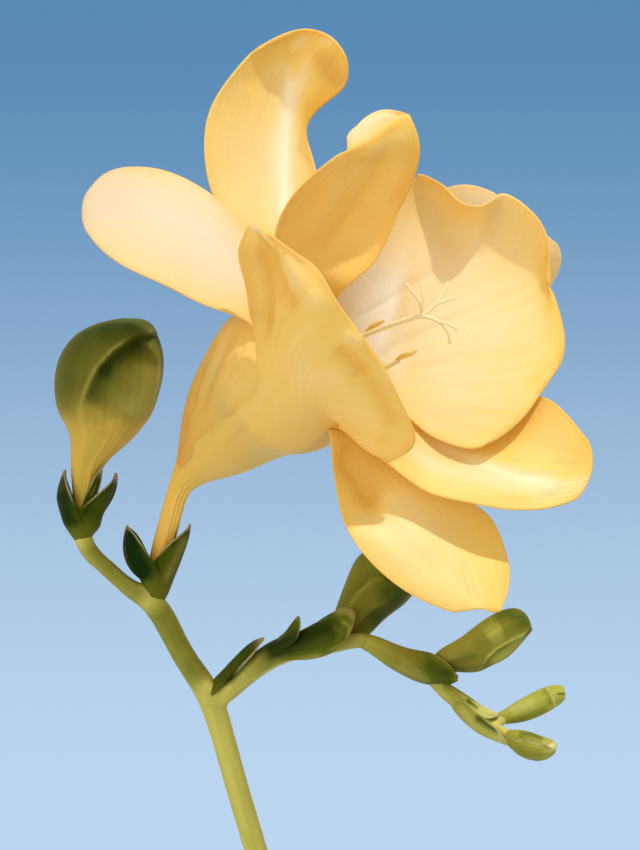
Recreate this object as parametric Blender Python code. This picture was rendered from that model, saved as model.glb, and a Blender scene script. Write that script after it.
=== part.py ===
"""Freesia spray in a plain glass bud vase, built in metres with +Z up.

The origin is the centre of the vase's foot. The spray is drawn as it is seen
from a front eye point on the -Y side: a place is given in millimetres as
(x, depth, z), with x and z measured on the plane through the vase's axis from
the middle of the spray, and depth running away from the eye.
"""
import math

import bmesh
import bpy
import numpy as np

MM = 0.001

# Driving dimensions, millimetres
EYE_DISTANCE = 600.0
SPRAY_CENTRE = (-5.5, 171.0)
GAP = 0.3
BLADE = 0.66
VASE_HEIGHT = 95.0
VASE_WALL = 2.4
VASE_FLOOR = 6.0
VASE_SEGMENTS = 36
VASE_SIDE = [(20.9, 1.6), (24.2, 12.5), (25.8, 26.0), (24.4, 40.0), (18.6, 53.0), (12.0, 64.0), (9.6, 75.0), (9.4, 85.0),
             (10.2, 93.8)]
WATER_LEVEL = 58.0
STEM_RADIUS = 1.35
STEM_END = 8.2

# Throat of the open flower: centre, axis and the two directions across it
THROAT = np.array((-4.7, -10.0, 5.0))
THROAT_AXIS = np.array((0.600, -0.600, 0.529))
THROAT_UP = np.array((-0.375, 0.375, 0.848))
THROAT_SIDE = np.array((-0.7071, -0.7071, 0.0))
THROAT_RADIUS = 9.7
TUBE = [(-19.6, 0.0, -18.2, 1.28), (-18.8, 0.0, -14.4, 1.3), (-17.6, -0.3, -9.9, 1.25), (-16.2, -1.1, -6.5, 1.7),
        (-13.5, -2.8, -3.3, 3.9), (-11.2, -4.7, -0.6, 5.9), (-7.9, -7.3, 2.7, 8.1), (-4.7, -10.0, 5.0, 9.7),
        (-1.9, -12.8, 7.5, 9.35)]


def seen(points):
    """Places in the spray from (x, depth, z) as seen from the eye point."""
    p = np.asarray(points, float)
    k = (EYE_DISTANCE + p[..., 1]) / EYE_DISTANCE
    out = p.copy()
    out[..., 0] = SPRAY_CENTRE[0] + p[..., 0] * k
    out[..., 2] = SPRAY_CENTRE[1] + p[..., 2] * k
    return out


def spline(points, t):
    """Smooth curve through evenly spaced points, read at each t from 0 to 1."""
    p = np.asarray(points, float)
    n = len(p)
    x = np.asarray(t, float) * (n - 1)
    if n == 2:
        return p[0] + np.outer(x, p[1] - p[0])
    if n == 3:
        c = np.polyfit([0, 1, 2], p, 2)
        return np.outer(x * x, c[0]) + np.outer(x, c[1]) + c[2]
    a = np.zeros((n, n))
    b = np.zeros_like(p)
    a[0, :3] = 1, -2, 1
    a[-1, -3:] = 1, -2, 1
    for i in range(1, n - 1):
        a[i, i - 1:i + 2] = 1, 4, 1
        b[i] = 6 * (p[i + 1] - 2 * p[i] + p[i - 1])
    m = np.linalg.solve(a, b)
    i = np.clip(x.astype(int), 0, n - 2)
    f = (x - i)[:, None]
    g = 1 - f
    return p[i] * g + p[i + 1] * f + m[i] * (g ** 3 - g) / 6 + m[i + 1] * (f ** 3 - f) / 6


def unit(v):
    v = np.asarray(v, float)
    return v / np.linalg.norm(v, axis=-1, keepdims=True)


def new_object(name, verts, faces):
    """Closed mesh object from millimetre vertices."""
    mesh = bpy.data.meshes.new(name)
    mesh.from_pydata([tuple(v) for v in np.asarray(verts) * MM], [], faces)
    bm = bmesh.new()
    bm.from_mesh(mesh)
    bmesh.ops.recalc_face_normals(bm, faces=bm.faces)
    bm.to_mesh(mesh)
    bm.free()
    obj = bpy.data.objects.new(name, mesh)
    bpy.context.scene.collection.objects.link(obj)
    return obj


def blade(name, grid, thickness=BLADE):
    """Thin closed blade over a grid of points, both faces split alike."""
    nu, nv = grid.shape[:2]
    normal = unit(np.cross(np.gradient(grid, axis=0), np.gradient(grid, axis=1)))
    half = normal * thickness / 2
    verts = np.concatenate([(grid + half).reshape(-1, 3), (grid - half).reshape(-1, 3)])
    off = nu * nv
    faces = []
    for i in range(nu - 1):
        for j in range(nv - 1):
            a = i * nv + j
            b, c, d = a + 1, a + nv + 1, a + nv
            faces += [(a, d, c), (a, c, b), (off + a, off + c, off + d), (off + a, off + b, off + c)]
    rim = list(range(nv)) + [i * nv + nv - 1 for i in range(1, nu)]
    rim += [(nu - 1) * nv + j for j in range(nv - 2, -1, -1)] + [i * nv for i in range(nu - 2, 0, -1)]
    for a, b in zip(rim, rim[1:] + rim[:1]):
        faces += [(a, b, off + b), (a, off + b, off + a)]
    return new_object(name, verts, faces)


def blade_grid(rows, nu, nv):
    """Grid of points through rows of places running across the blade."""
    v = np.linspace(0, 1, nv)
    across = np.array([spline(r, v) for r in rows])
    u = np.linspace(0, 1, nu)
    return np.stack([spline(across[:, j], u) for j in range(nv)], axis=1)


def frames(points, towards=(0.0, -1.0, 0.0)):
    """Directions along a path and the two across it; the first one leans to the eye."""
    along = unit(np.gradient(points, axis=0))
    ref = np.asarray(towards, float)
    front = unit(ref - (along @ ref)[:, None] * along)
    return along, front, np.cross(along, front)


def round_body(name, rows, rings, sides, start_cap=0.0, end_cap=0.0, relief=None, grow=0.0, towards=(0.0, -1.0, 0.0)):
    """Round body through rows of (x, depth, z, radius) with flat or domed ends."""
    data = spline(rows, np.linspace(0, 1, rings))
    points, radii = seen(data[:, :3]), data[:, 3] + grow
    along, front, side = frames(points, towards)
    theta = np.linspace(0, 2 * math.pi, sides, endpoint=False)
    out = []

    def ring(i, shift, scale, s):
        k = radii[i] * scale * (np.ones(sides) if relief is None else relief(theta, s))
        out.append(points[i] + along[i] * shift + np.outer(k * np.cos(theta), front[i]) +
                   np.outer(k * np.sin(theta), side[i]))

    dome = (30, 60)
    if start_cap:
        for a in dome:
            ring(0, -start_cap * math.cos(math.radians(a)), math.sin(math.radians(a)), 0.0)
    for i in range(rings):
        ring(i, 0.0, 1.0, i / (rings - 1))
    if end_cap:
        for a in reversed(dome):
            ring(rings - 1, end_cap * math.cos(math.radians(a)), math.sin(math.radians(a)), 1.0)
    n = len(out)
    first = points[0] - along[0] * start_cap
    last = points[-1] + along[-1] * end_cap
    verts = np.concatenate(out + [[first], [last]])
    faces = []
    for i in range(n - 1):
        for j in range(sides):
            a, b = i * sides + j, i * sides + (j + 1) % sides
            faces.append((a, b, b + sides, a + sides))
    faces += [(n * sides, (j + 1) % sides, j) for j in range(sides)]
    faces += [(n * sides + 1, (n - 1) * sides + j, (n - 1) * sides + (j + 1) % sides) for j in range(sides)]
    return new_object(name, verts, faces)


def lathe(name, profile, segments):
    """Closed body turned about +Z from a closed profile of (radius, z)."""
    angles = np.linspace(0, 2 * math.pi, segments, endpoint=False)
    verts, rows = [], []
    for r, z in profile:
        if r < 1e-6:
            rows.append([len(verts)] * segments)
            verts.append((0.0, 0.0, z))
        else:
            rows.append(list(range(len(verts), len(verts) + segments)))
            verts += [(r * math.cos(a), r * math.sin(a), z) for a in angles]
    faces = []
    for low, high in zip(rows, rows[1:]):
        for j in range(segments):
            k = (j + 1) % segments
            face = [low[j], low[k], high[k], high[j]]
            face = [v for n, v in enumerate(face) if v not in face[:n]]
            if len(face) > 2:
                faces.append(tuple(face))
    return new_object(name, verts, faces)


def apply_modifiers(obj):
    mesh = bpy.data.meshes.new_from_object(obj.evaluated_get(bpy.context.evaluated_depsgraph_get()))
    obj.modifiers.clear()
    obj.data = mesh


def fuse(name, parts):
    """One closed body from overlapping parts."""
    base, rest = parts[0], parts[1:]
    group = bpy.data.collections.new(name + "_parts")
    bpy.context.scene.collection.children.link(group)
    for obj in rest:
        bpy.context.scene.collection.objects.unlink(obj)
        group.objects.link(obj)
    union = base.modifiers.new("union", "BOOLEAN")
    union.operation = "UNION"
    union.operand_type = "COLLECTION"
    union.collection = group
    union.solver = "MANIFOLD"
    apply_modifiers(base)
    for obj in rest:
        bpy.data.objects.remove(obj)
    bpy.data.collections.remove(group)
    base.name = name
    fill_hollows(base)
    return base


def fill_hollows(obj):
    """Drop the inner shells that fusing seals, so that the body is solid there."""
    bm = bmesh.new()
    bm.from_mesh(obj.data)
    bmesh.ops.triangulate(bm, faces=bm.faces)
    left = set(bm.verts)
    while left:
        shell, stack = set(), [left.pop()]
        while stack:
            v = stack.pop()
            shell.add(v)
            for e in v.link_edges:
                w = e.other_vert(v)
                if w in left:
                    left.discard(w)
                    stack.append(w)
        faces = {f for v in shell for f in v.link_faces}
        volume = sum(f.verts[0].co.dot(f.verts[1].co.cross(f.verts[2].co)) for f in faces)
        if volume < 0:
            bmesh.ops.delete(bm, geom=list(shell), context="VERTS")
    bm.to_mesh(obj.data)
    bm.free()


def cut(obj, cutter):
    """Take the cutter's volume out of a body."""
    cutter.hide_render = True
    cutter.display_type = "WIRE"
    difference = obj.modifiers.new("cut", "BOOLEAN")
    difference.operation = "DIFFERENCE"
    difference.object = cutter
    difference.solver = "MANIFOLD"
    apply_modifiers(obj)
    bpy.data.objects.remove(cutter)
    return obj


def material(name, colour, roughness, alpha=1.0, metallic=0.0):
    m = bpy.data.materials.new(name)
    m.use_nodes = True
    shader = m.node_tree.nodes["Principled BSDF"]
    shader.inputs["Base Color"].default_value = (*colour, 1.0)
    shader.inputs["Roughness"].default_value = roughness
    shader.inputs["Alpha"].default_value = alpha
    shader.inputs["Metallic"].default_value = metallic
    return m


def finish(obj, name, mat):
    """Name, shade and colour a finished node."""
    obj.name = name
    obj.data.name = name
    obj.data.materials.clear()
    obj.data.materials.append(mat)
    obj.data.polygons.foreach_set("use_smooth", [True] * len(obj.data.polygons))
    return obj


# Open flower

def ring_point(level, phi, radius):
    """Place on the throat's wall: level along its axis, phi round it in degrees."""
    a = math.radians(phi)
    return THROAT + THROAT_AXIS * level + radius * (THROAT_UP * math.cos(a) + THROAT_SIDE * math.sin(a))


def root_rows(first, last, inset, count=5):
    """Two rows in the throat's wall that a tepal grows out of."""
    return [[ring_point(level, first + (last - first) * k / (count - 1), THROAT_RADIUS - inset)
             for k in range(count)] for level in (1.2, 4.8)]


# Free parts of the tepals: rows from the throat to the tip, each running across the tepal
TEPALS = {
    "left": dict(root=(20, 72), inset=0.5, rows=[
        [(-8.2, -13.0, 19.6), (-8.9, -14.4, 17.4), (-9.3, -15.8, 15.4), (-9.2, -17.4, 13.4), (-8.4, -19.3, 11.6)],
        [(-11.5, -10.2, 26.4), (-12.2, -12.4, 22.8), (-12.5, -14.6, 19.6), (-12.5, -17.2, 16.6), (-12.2, -20.0, 13.8)],
        [(-16.8, -8.8, 29.8), (-17.3, -11.4, 26.4), (-17.5, -14.0, 22.9), (-17.5, -17.0, 19.5), (-17.4, -20.4, 16.1)],
        [(-22.0, -8.6, 31.0), (-22.6, -10.8, 28.4), (-22.8, -13.4, 25.2), (-22.7, -16.4, 21.9), (-22.4, -19.8, 18.5)],
        [(-25.9, -8.8, 30.0), (-26.7, -10.4, 28.2), (-26.9, -12.6, 26.0), (-26.7, -15.2, 23.5), (-26.1, -18.2, 20.9)],
        [(-27.7, -10.0, 27.9), (-28.4, -11.0, 26.9), (-28.6, -12.4, 25.5), (-28.5, -13.8, 24.3), (-28.0, -15.2, 23.2)]]),
    "upper": dict(root=(-22, 38), inset=0.5, rows=[
        [(-0.4, -5.0, 20.4), (-2.9, -5.2, 20.9), (-5.4, -6.4, 21.2), (-7.8, -8.2, 21.4), (-10.2, -10.2, 21.6)],
        [(0.2, -3.4, 26.6), (-2.9, -2.6, 27.2), (-6.2, -3.0, 27.6), (-9.6, -5.0, 27.9), (-13.0, -7.8, 28.1)],
        [(-1.0, -2.6, 32.4), (-3.3, -1.2, 33.2), (-6.8, -1.6, 33.8), (-10.4, -3.8, 34.0), (-13.9, -6.6, 34.0)],
        [(-1.7, -2.4, 35.6), (-2.6, -1.0, 37.4), (-5.6, -0.6, 38.8), (-9.0, -2.4, 39.4), (-12.7, -5.2, 39.0)],
        [(1.0, -3.4, 38.8), (-1.3, -1.8, 41.4), (-3.6, -0.6, 43.0), (-6.6, -1.6, 43.6), (-9.6, -3.8, 43.3)],
        [(3.3, -4.2, 41.6), (1.2, -3.4, 45.2), (-0.6, -2.2, 46.4), (-3.2, -1.8, 46.9), (-6.2, -3.0, 45.7)],
        [(3.0, -5.0, 44.0), (1.9, -4.6, 46.0), (0.2, -4.0, 47.1), (-1.6, -3.4, 47.4), (-3.4, -3.4, 47.0)]]),
    "right_back": dict(root=(272, 330), inset=0.4, rows=[
        [(10.5, -3.5, 10.2), (8.6, -1.6, 14.6), (4.0, -2.6, 19.2)],
        [(20.0, 0.6, 11.6), (16.6, 2.6, 19.2), (9.6, 0.6, 25.2)],
        [(26.4, 0.4, 15.2), (22.2, 3.0, 22.8), (14.6, 0.8, 28.2)],
        [(28.9, -0.8, 19.6), (24.8, 1.2, 24.0), (18.4, -0.2, 28.7)],
        [(28.3, -1.4, 21.8), (25.0, -0.2, 24.4), (21.0, -0.9, 27.7)]]),
    "lower_right": dict(root=(202, 250), inset=0.5, rows=[
        [(8.0, -19.0, -4.3), (9.2, -17.0, -2.6), (10.4, -14.8, -0.9), (11.2, -12.6, 1.0), (11.6, -10.6, 2.8)],
        [(11.6, -20.0, -7.4), (13.1, -17.8, -5.6), (14.6, -15.4, -3.9), (15.8, -12.8, -1.3), (16.8, -10.6, 1.6)],
        [(17.0, -20.8, -9.1), (18.8, -18.2, -7.3), (20.4, -15.6, -5.2), (21.6, -12.8, -2.0), (22.4, -10.4, 1.4)],
        [(22.6, -20.2, -10.2), (24.0, -18.0, -8.2), (25.2, -16.0, -5.9), (26.2, -12.8, -1.5), (26.4, -10.6, 3.4)],
        [(27.4, -18.6, -10.0), (28.4, -17.2, -8.4), (29.2, -15.8, -6.0), (29.9, -13.6, -2.4), (30.0, -12.0, 0.9)],
        [(30.6, -16.6, -8.9), (31.9, -16.0, -7.5), (32.7, -15.2, -5.3), (32.7, -14.4, -3.4), (32.2, -13.6, -1.8)]]),
    "bottom": dict(root=(160, 215), inset=0.5, rows=[
        [(1.5, -18.6, -3.6), (3.3, -18.4, -3.7), (5.4, -17.8, -3.8), (7.8, -16.4, -3.9), (10.0, -14.2, -4.0)],
        [(2.1, -19.6, -8.2), (4.8, -19.8, -8.6), (8.0, -19.2, -8.8), (11.6, -17.4, -8.5), (15.4, -14.8, -7.9)],
        [(3.3, -20.6, -12.6), (7.0, -20.8, -13.2), (11.2, -20.2, -13.4), (15.6, -18.6, -12.6), (20.2, -16.4, -10.8)],
        [(6.8, -21.8, -17.2), (10.4, -21.8, -17.8), (14.6, -21.2, -17.6), (18.6, -20.2, -16.6), (22.1, -18.8, -14.6)],
        [(12.4, -22.4, -21.1), (15.0, -22.4, -21.2), (17.6, -22.0, -20.9), (20.3, -21.4, -20.2), (22.8, -20.8, -18.9)],
        [(16.2, -22.6, -22.4), (17.7, -22.4, -22.3), (19.2, -22.2, -22.1), (20.4, -21.8, -22.4), (21.6, -21.4, -22.4)]]),
    "upper_middle": dict(root=(312, 372), inset=0.8, rows=[
        [(3.0, -10.0, 16.4), (0.6, -9.6, 18.0), (-1.8, -9.8, 19.0), (-3.8, -10.6, 19.8), (-5.8, -11.8, 20.4)],
        [(6.6, -9.8, 19.6), (3.8, -8.8, 21.4), (0.8, -9.0, 22.9), (-2.2, -10.4, 24.2), (-5.0, -12.8, 24.7)],
        [(9.2, -11.0, 25.0), (6.8, -10.2, 26.2), (4.0, -10.4, 27.4), (1.0, -11.8, 28.4), (-2.3, -14.4, 28.7)],
        [(11.5, -12.6, 30.2), (9.4, -12.2, 30.9), (7.0, -12.6, 31.5), (4.2, -13.6, 31.8), (1.2, -15.4, 31.7)],
        [(11.9, -13.6, 34.2), (9.8, -13.8, 33.8), (7.4, -14.2, 33.0), (5.0, -14.6, 32.6), (2.6, -15.2, 32.7)],
        [(10.9, -14.0, 37.0), (8.9, -14.4, 36.4), (6.9, -14.7, 35.0), (4.9, -14.8, 33.9), (3.2, -14.7, 33.1)],
        [(10.8, -13.5, 37.15), (8.85, -13.6, 36.85), (6.85, -13.7, 35.7), (4.85, -13.8, 34.55), (3.25, -14.0, 33.5)],
        [(10.4, -12.6, 37.4), (8.4, -10.8, 37.9), (6.6, -10.2, 37.6), (4.9, -10.4, 36.5), (3.5, -11.6, 34.6)]]),
    "right": dict(root=(236, 328), inset=0.8, rows=[
        [(11.4, -14.8, 0.2), (12.4, -9.6, 5.0), (12.0, -6.6, 11.2), (9.0, -6.2, 17.0), (4.6, -7.6, 21.6)],
        [(14.8, -16.6, -2.0), (18.8, -10.6, 4.6), (18.4, -5.8, 13.6), (13.8, -4.8, 21.0), (8.4, -6.2, 26.4)],
        [(17.8, -17.2, -2.8), (24.6, -11.4, 5.0), (24.4, -5.0, 16.4), (17.6, -3.8, 23.6), (10.8, -5.6, 29.0)],
        [(20.4, -16.8, -1.9), (23.4, -15.4, 0.8), (25.6, -13.6, 3.0), (27.1, -11.6, 5.4), (28.6, -9.4, 7.2),
         (29.4, -8.0, 9.8), (28.8, -7.0, 13.4), (27.8, -6.6, 16.2), (27.1, -6.4, 17.8), (27.4, -6.4, 20.4),
         (27.0, -6.4, 23.4), (25.2, -6.2, 25.9), (23.0, -6.0, 27.5), (21.4, -6.2, 27.7), (20.0, -7.6, 26.7),
         (18.2, -8.6, 26.3), (16.4, -8.0, 27.1), (15.0, -7.2, 28.6), (13.0, -6.4, 29.8), (11.7, -6.2, 30.1)]]),
    "front": dict(root=(62, 168), inset=0.8, rows=[
        [(-9.2, -20.4, 17.0), (-6.2, -24.0, 13.2), (-2.2, -25.6, 8.6), (1.2, -23.8, 4.0), (4.0, -19.8, -1.6)],
        [(-9.4, -22.4, 21.2), (-4.4, -26.6, 16.6), (1.2, -27.8, 10.6), (6.0, -25.6, 3.8), (7.0, -20.8, -3.8)],
        [(-8.2, -24.2, 24.1), (-4.2, -27.4, 21.6), (-1.0, -28.6, 18.8), (1.8, -29.4, 14.4), (4.3, -28.6, 10.8),
         (7.8, -26.9, 6.6), (9.7, -25.4, 3.0), (11.3, -23.4, -0.6), (11.0, -21.8, -2.9), (8.3, -21.0, -4.4)]]),
}
TEPAL_MESH = {"right": (11, 15), "front": (10, 11)}
STAMENS = [
    [(-0.7, -2.2, 3.4, 0.4), (3.0, -8.6, 9.2, 0.36), (6.2, -11.6, 11.9, 0.36)],
    [(-0.1, -5.6, -1.2, 0.4), (4.6, -12.2, 4.6, 0.36), (9.8, -15.6, 8.2, 0.36)],
    [(0.1, -3.6, 1.2, 0.4), (3.4, -9.4, 5.2, 0.36), (6.8, -12.8, 6.9, 0.36)],
]
ANTHERS = [
    [(5.6, -11.3, 11.6, 0.5), (6.9, -12.1, 12.3, 0.75), (8.2, -12.9, 12.9, 0.45)],
    [(9.2, -15.3, 7.9, 0.5), (10.4, -16.0, 8.5, 0.8), (11.6, -16.7, 8.9, 0.45)],
    [(6.2, -12.4, 6.7, 0.5), (7.4, -13.3, 7.1, 0.7), (8.5, -14.1, 7.4, 0.4)],
]
STYLE = [(-13.9, -2.5, -3.65, 0.42), (-11.2, -4.9, -1.2, 0.42), (-7.4, -8.4, 2.6, 0.42), (-3.4, -12.2, 6.0, 0.42), (1.6, -16.6, 9.0, 0.4),
         (7.4, -19.2, 11.6, 0.38), (12.6, -20.4, 13.2, 0.38)]
STIGMA = [
    [(12.2, -20.3, 13.1, 0.36), (12.0, -20.9, 14.4, 0.34), (11.2, -21.4, 15.8, 0.32)],
    [(12.2, -20.3, 13.1, 0.36), (13.6, -20.4, 14.2, 0.34), (14.8, -20.0, 15.9, 0.32)],
    [(12.2, -20.3, 13.1, 0.36), (14.2, -20.4, 12.4, 0.34), (15.4, -19.8, 10.9, 0.32)],
]


def tepal_grid(key, nu, nv):
    spec = TEPALS[key]
    rows = root_rows(*spec["root"], spec["inset"]) + spec["rows"]
    return seen(blade_grid(rows, nu, nv))


def build_bloom():
    cup = round_body("bloom_cup", TUBE, 19, 20, grow=0.0)
    hollow = TUBE[4:] + [(0.5, -15.2, 9.6, 9.2)]
    cup = cut(cup, round_body("bloom_hollow", hollow, 11, 20, start_cap=1.2, grow=-1.25))
    parts = [cup]
    for key in TEPALS:
        parts.append(blade("tepal_" + key, tepal_grid(key, *TEPAL_MESH.get(key, (10, 8)))))
    for filament, anther in zip(STAMENS, ANTHERS):
        parts.append(round_body("filament", filament, 5, 6, end_cap=0.3))
        parts.append(round_body("anther", anther, 4, 6, start_cap=0.4, end_cap=0.4))
    return fuse("bloom", parts)


def build_pistil():
    parts = [round_body("style", STYLE, 12, 8, start_cap=0.2, end_cap=0.3)]
    for branch in STIGMA:
        parts.append(round_body("stigma", branch, 4, 6, start_cap=0.3, end_cap=0.3))
    return fuse("pistil", parts)


# Buds: rows of (x, depth, z, radius) and the relief of their overlapping tepals
BUDS = {
    "bud_1": dict(rings=13, sides=16, ridge=(14, 0.10), caps=(0.0, 1.6), rows=[
        (-28.5, 0.0, -12.3, 1.35), (-28.4, 0.0, -8.4, 1.5), (-28.0, 0.0, -4.9, 2.0), (-26.9, 0.0, -2.2, 3.3),
        (-26.0, 0.0, 0.6, 5.2), (-25.6, 0.0, 3.5, 6.25), (-25.2, 0.0, 6.4, 6.5), (-24.7, 0.0, 9.2, 6.0),
        (-24.0, 0.0, 11.3, 4.7)]),
    "bud_2": dict(rings=10, sides=12, ridge=(150, 0.09), caps=(0.0, 1.5), rows=[
        (3.2, 2.9, -25.1, 1.0), (3.6, 3.5, -23.9, 2.2), (4.5, 3.8, -22.3, 3.1), (5.8, 3.8, -20.6, 3.7),
        (7.1, 3.7, -18.9, 4.0), (8.4, 3.6, -17.3, 3.8), (9.5, 3.5, -15.9, 2.8)]),
    "bud_3": dict(rings=9, sides=12, ridge=(20, 0.09), caps=(0.0, 1.0), rows=[
        (14.3, 0.0, -28.7, 1.1), (15.9, 0.0, -28.0, 1.75), (18.0, 0.0, -27.1, 2.35), (20.4, 0.0, -26.0, 2.6),
        (22.6, 0.0, -24.9, 2.45), (24.2, 0.0, -24.1, 1.7)]),
    "bud_4": dict(rings=7, sides=10, ridge=(60, 0.08), caps=(0.0, 0.7), rows=[
        (22.2, 0.8, -35.1, 0.75), (23.6, 1.0, -34.4, 1.15), (25.4, 1.0, -33.7, 1.45), (27.2, 1.0, -32.9, 1.4),
        (28.6, 1.0, -32.2, 1.1)]),
    "bud_5": dict(rings=7, sides=10, ridge=(20, 0.08), caps=(0.0, 0.6), rows=[
        (22.5, -0.9, -37.3, 0.75), (23.7, -1.0, -37.9, 1.45), (25.3, -1.0, -38.5, 1.6), (26.9, -1.0, -38.9, 1.4),
        (28.0, -1.0, -39.0, 0.95)]),
}


def bud_relief(turn, height):
    """Overlapping edges that wind up a bud: each step rises and drops sharply."""
    def relief(theta, s):
        lobe = (3 * (theta + math.radians(turn)) / (2 * math.pi) + 0.9 * s) % 1.0
        fade = min(1.0, max(0.0, (s - 0.3) / 0.3))
        return 1 + height * fade * (lobe ** 2 - 0.45)
    return relief


def build_bud(key):
    spec = BUDS[key]
    return round_body(key, spec["rows"], spec["rings"], spec["sides"], *spec["caps"], relief=bud_relief(*spec["ridge"]))


# Bracts: blades bent round a path; rows of (x, depth, z, radius, facing, half width), angles in degrees.
# Facing 0 is towards the eye, 90 to the right of a path that rises and under one that runs to the right.
BRACTS = {
    "bract_fork": [
        [(-11.4, 0.0, -31.9, 1.95, -95, 55), (-9.9, 0.0, -30.7, 2.05, -92, 60), (-8.3, 0.0, -29.3, 2.25, -90, 50),
         (-6.9, 0.0, -28.4, 2.55, -90, 34), (-5.7, 0.0, -27.9, 2.5, -90, 8)]],
    "bracts_bloom": [
        [(-19.55, 0.0, -18.1, 1.95, -80, 92), (-19.85, 0.0, -16.7, 2.7, -85, 90), (-20.2, 0.0, -15.2, 3.1, -88, 80),
         (-20.4, 0.0, -13.2, 3.0, -90, 60), (-20.8, 0.0, -11.2, 2.5, -90, 8)],
        [(-19.55, 0.0, -18.1, 1.95, 72, 90), (-19.25, 0.0, -16.8, 2.05, 75, 95), (-18.8, 0.0, -15.2, 2.15, 82, 86),
         (-18.2, 0.0, -13.2, 2.3, 88, 62), (-17.8, 0.0, -11.5, 2.2, 90, 10)]],
    "bracts_bud_1": [
        [(-28.5, 0.0, -12.9, 2.0, -80, 92), (-28.5, 0.0, -11.0, 2.45, -85, 82), (-28.4, 0.0, -9.2, 2.9, -88, 68),
         (-28.3, 0.0, -7.2, 2.8, -90, 46), (-28.2, 0.0, -5.6, 2.4, -90, 8)],
        [(-28.5, 0.0, -12.9, 2.0, 75, 90), (-28.4, 0.0, -11.2, 2.1, 70, 92), (-28.3, 0.0, -9.6, 2.6, 78, 76),
         (-28.1, 0.0, -7.8, 3.3, 84, 52), (-28.0, 0.0, -5.9, 3.5, 90, 8)]],
    "bract_bud_2": [
        [(-4.4, 0.0, -27.3, 1.75, -85, 70), (-2.2, 0.0, -26.9, 1.9, -75, 90), (0.2, 0.0, -26.3, 2.3, -65, 92),
         (2.2, 0.2, -25.5, 2.5, -45, 84), (4.2, 0.0, -24.6, 2.6, -25, 66)],
        [(-2.4, 0.0, -26.8, 1.95, -88, 50), (-1.6, 0.0, -25.8, 1.95, -90, 46), (-1.0, 0.0, -25.0, 2.0, -92, 34),
         (-0.6, 0.0, -24.5, 2.1, -92, 12)]],
    "bract_bud_3": [
        [(9.0, 0.0, -27.8, 1.5, -60, 80), (11.2, 0.0, -28.7, 1.6, -60, 92), (13.2, 0.0, -29.0, 2.1, -50, 90),
         (15.0, 0.0, -28.6, 2.5, -30, 76), (16.9, 0.0, -27.8, 3.1, -5, 46)]],
    "bract_bud_4": [
        [(17.2, 0.3, -33.8, 1.5, -80, 60), (18.8, 0.4, -34.9, 1.75, -80, 70), (20.4, 0.6, -35.4, 1.75, -85, 66),
         (21.8, 0.9, -35.1, 1.75, -100, 40), (22.8, 1.0, -34.8, 2.0, -105, 10)]],
    "bract_bud_5": [
        [(19.6, -0.5, -36.0, 1.65, 60, 60), (21.0, -0.8, -36.7, 1.7, 60, 74), (22.4, -0.9, -37.3, 1.75, 60, 66),
         (23.6, -1.0, -37.9, 2.05, 60, 42), (24.8, -1.0, -38.4, 2.15, 60, 8)]],
}


def bract_grid(rows, nu, nv):
    data = spline(rows, np.linspace(0, 1, nu))
    points = seen(data[:, :3])
    along, front, side = frames(points)
    span = np.linspace(-1, 1, nv)
    angle = np.radians(data[:, 4:5] + data[:, 5:6] * span)[..., None]
    return points[:, None] + data[:, 3:4, None] * (np.cos(angle) * front[:, None] + np.sin(angle) * side[:, None])


def build_bracts(key):
    parts = [blade(key, bract_grid(rows, 7, 7), 0.62) for rows in BRACTS[key]]
    return fuse(key, parts) if len(parts) > 1 else parts[0]


# Stem and its branches: rows of (x, depth, z, radius)
RACHIS = [(-7.7, 0.0, -51.0, 1.38), (-10.2, 0.0, -42.6, 1.38), (-12.2, 0.0, -35.6, 1.45), (-13.7, 0.0, -31.8, 1.5),
          (-15.9, 0.0, -28.4, 1.4), (-18.0, 0.0, -24.6, 1.42), (-20.3, 0.0, -21.2, 1.4), (-22.9, 0.0, -19.5, 1.1),
          (-25.2, 0.0, -17.5, 1.0), (-27.6, 0.0, -15.2, 1.05), (-28.5, 0.0, -12.9, 1.15)]
LOWER_STEM = [(18.3, STEM_END), (11.3, 35.0), (3.7, 62.0), (-6.3, 95.0)]
BRANCHES = [
    [(-13.0, 0.0, -33.4, 1.2), (-10.9, 0.0, -31.7, 1.3), (-8.4, 0.0, -29.5, 1.4), (-6.0, 0.0, -28.0, 1.35),
     (-3.4, 0.0, -27.2, 1.1), (-0.4, 0.0, -26.7, 1.0), (2.6, 0.0, -26.2, 0.95), (5.2, 0.0, -25.9, 0.9),
     (7.4, 0.0, -26.9, 0.85), (9.6, 0.0, -28.1, 0.8), (11.8, 0.0, -29.1, 0.8), (13.4, 0.0, -30.3, 0.85),
     (14.8, 0.0, -31.9, 0.85), (16.5, 0.0, -33.7, 0.85), (18.4, 0.0, -35.2, 0.85), (20.4, 0.0, -36.2, 0.85)],
    [(-20.3, 0.0, -21.2, 1.3), (-19.68, 0.0, -18.6, 1.28)],
    [(2.8, 0.2, -26.2, 0.8), (3.0, 2.05, -25.6, 0.85)],
    [(12.2, 0.0, -29.3, 0.8), (13.95, 0.0, -28.85, 1.0)],
    [(20.0, 0.1, -36.0, 0.75), (21.85, 0.72, -35.3, 0.72)],
    [(20.2, -0.2, -36.1, 0.75), (22.15, -0.82, -37.1, 0.72)],
]


def lower_stem_rows():
    """Main stem from its cut end in the water to where it meets the spray."""
    low = [(x - SPRAY_CENTRE[0], 0.0, z - SPRAY_CENTRE[1], STEM_RADIUS) for x, z in LOWER_STEM]
    return low + [RACHIS[0], RACHIS[1]]


def build_stem():
    parts = [round_body("rachis", RACHIS, 22, 10), round_body("lower", lower_stem_rows(), 12, 10)]
    for branch in BRANCHES:
        parts.append(round_body("branch", branch, 26 if len(branch) > 4 else 2, 8))
    return fuse("stem", parts)


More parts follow.
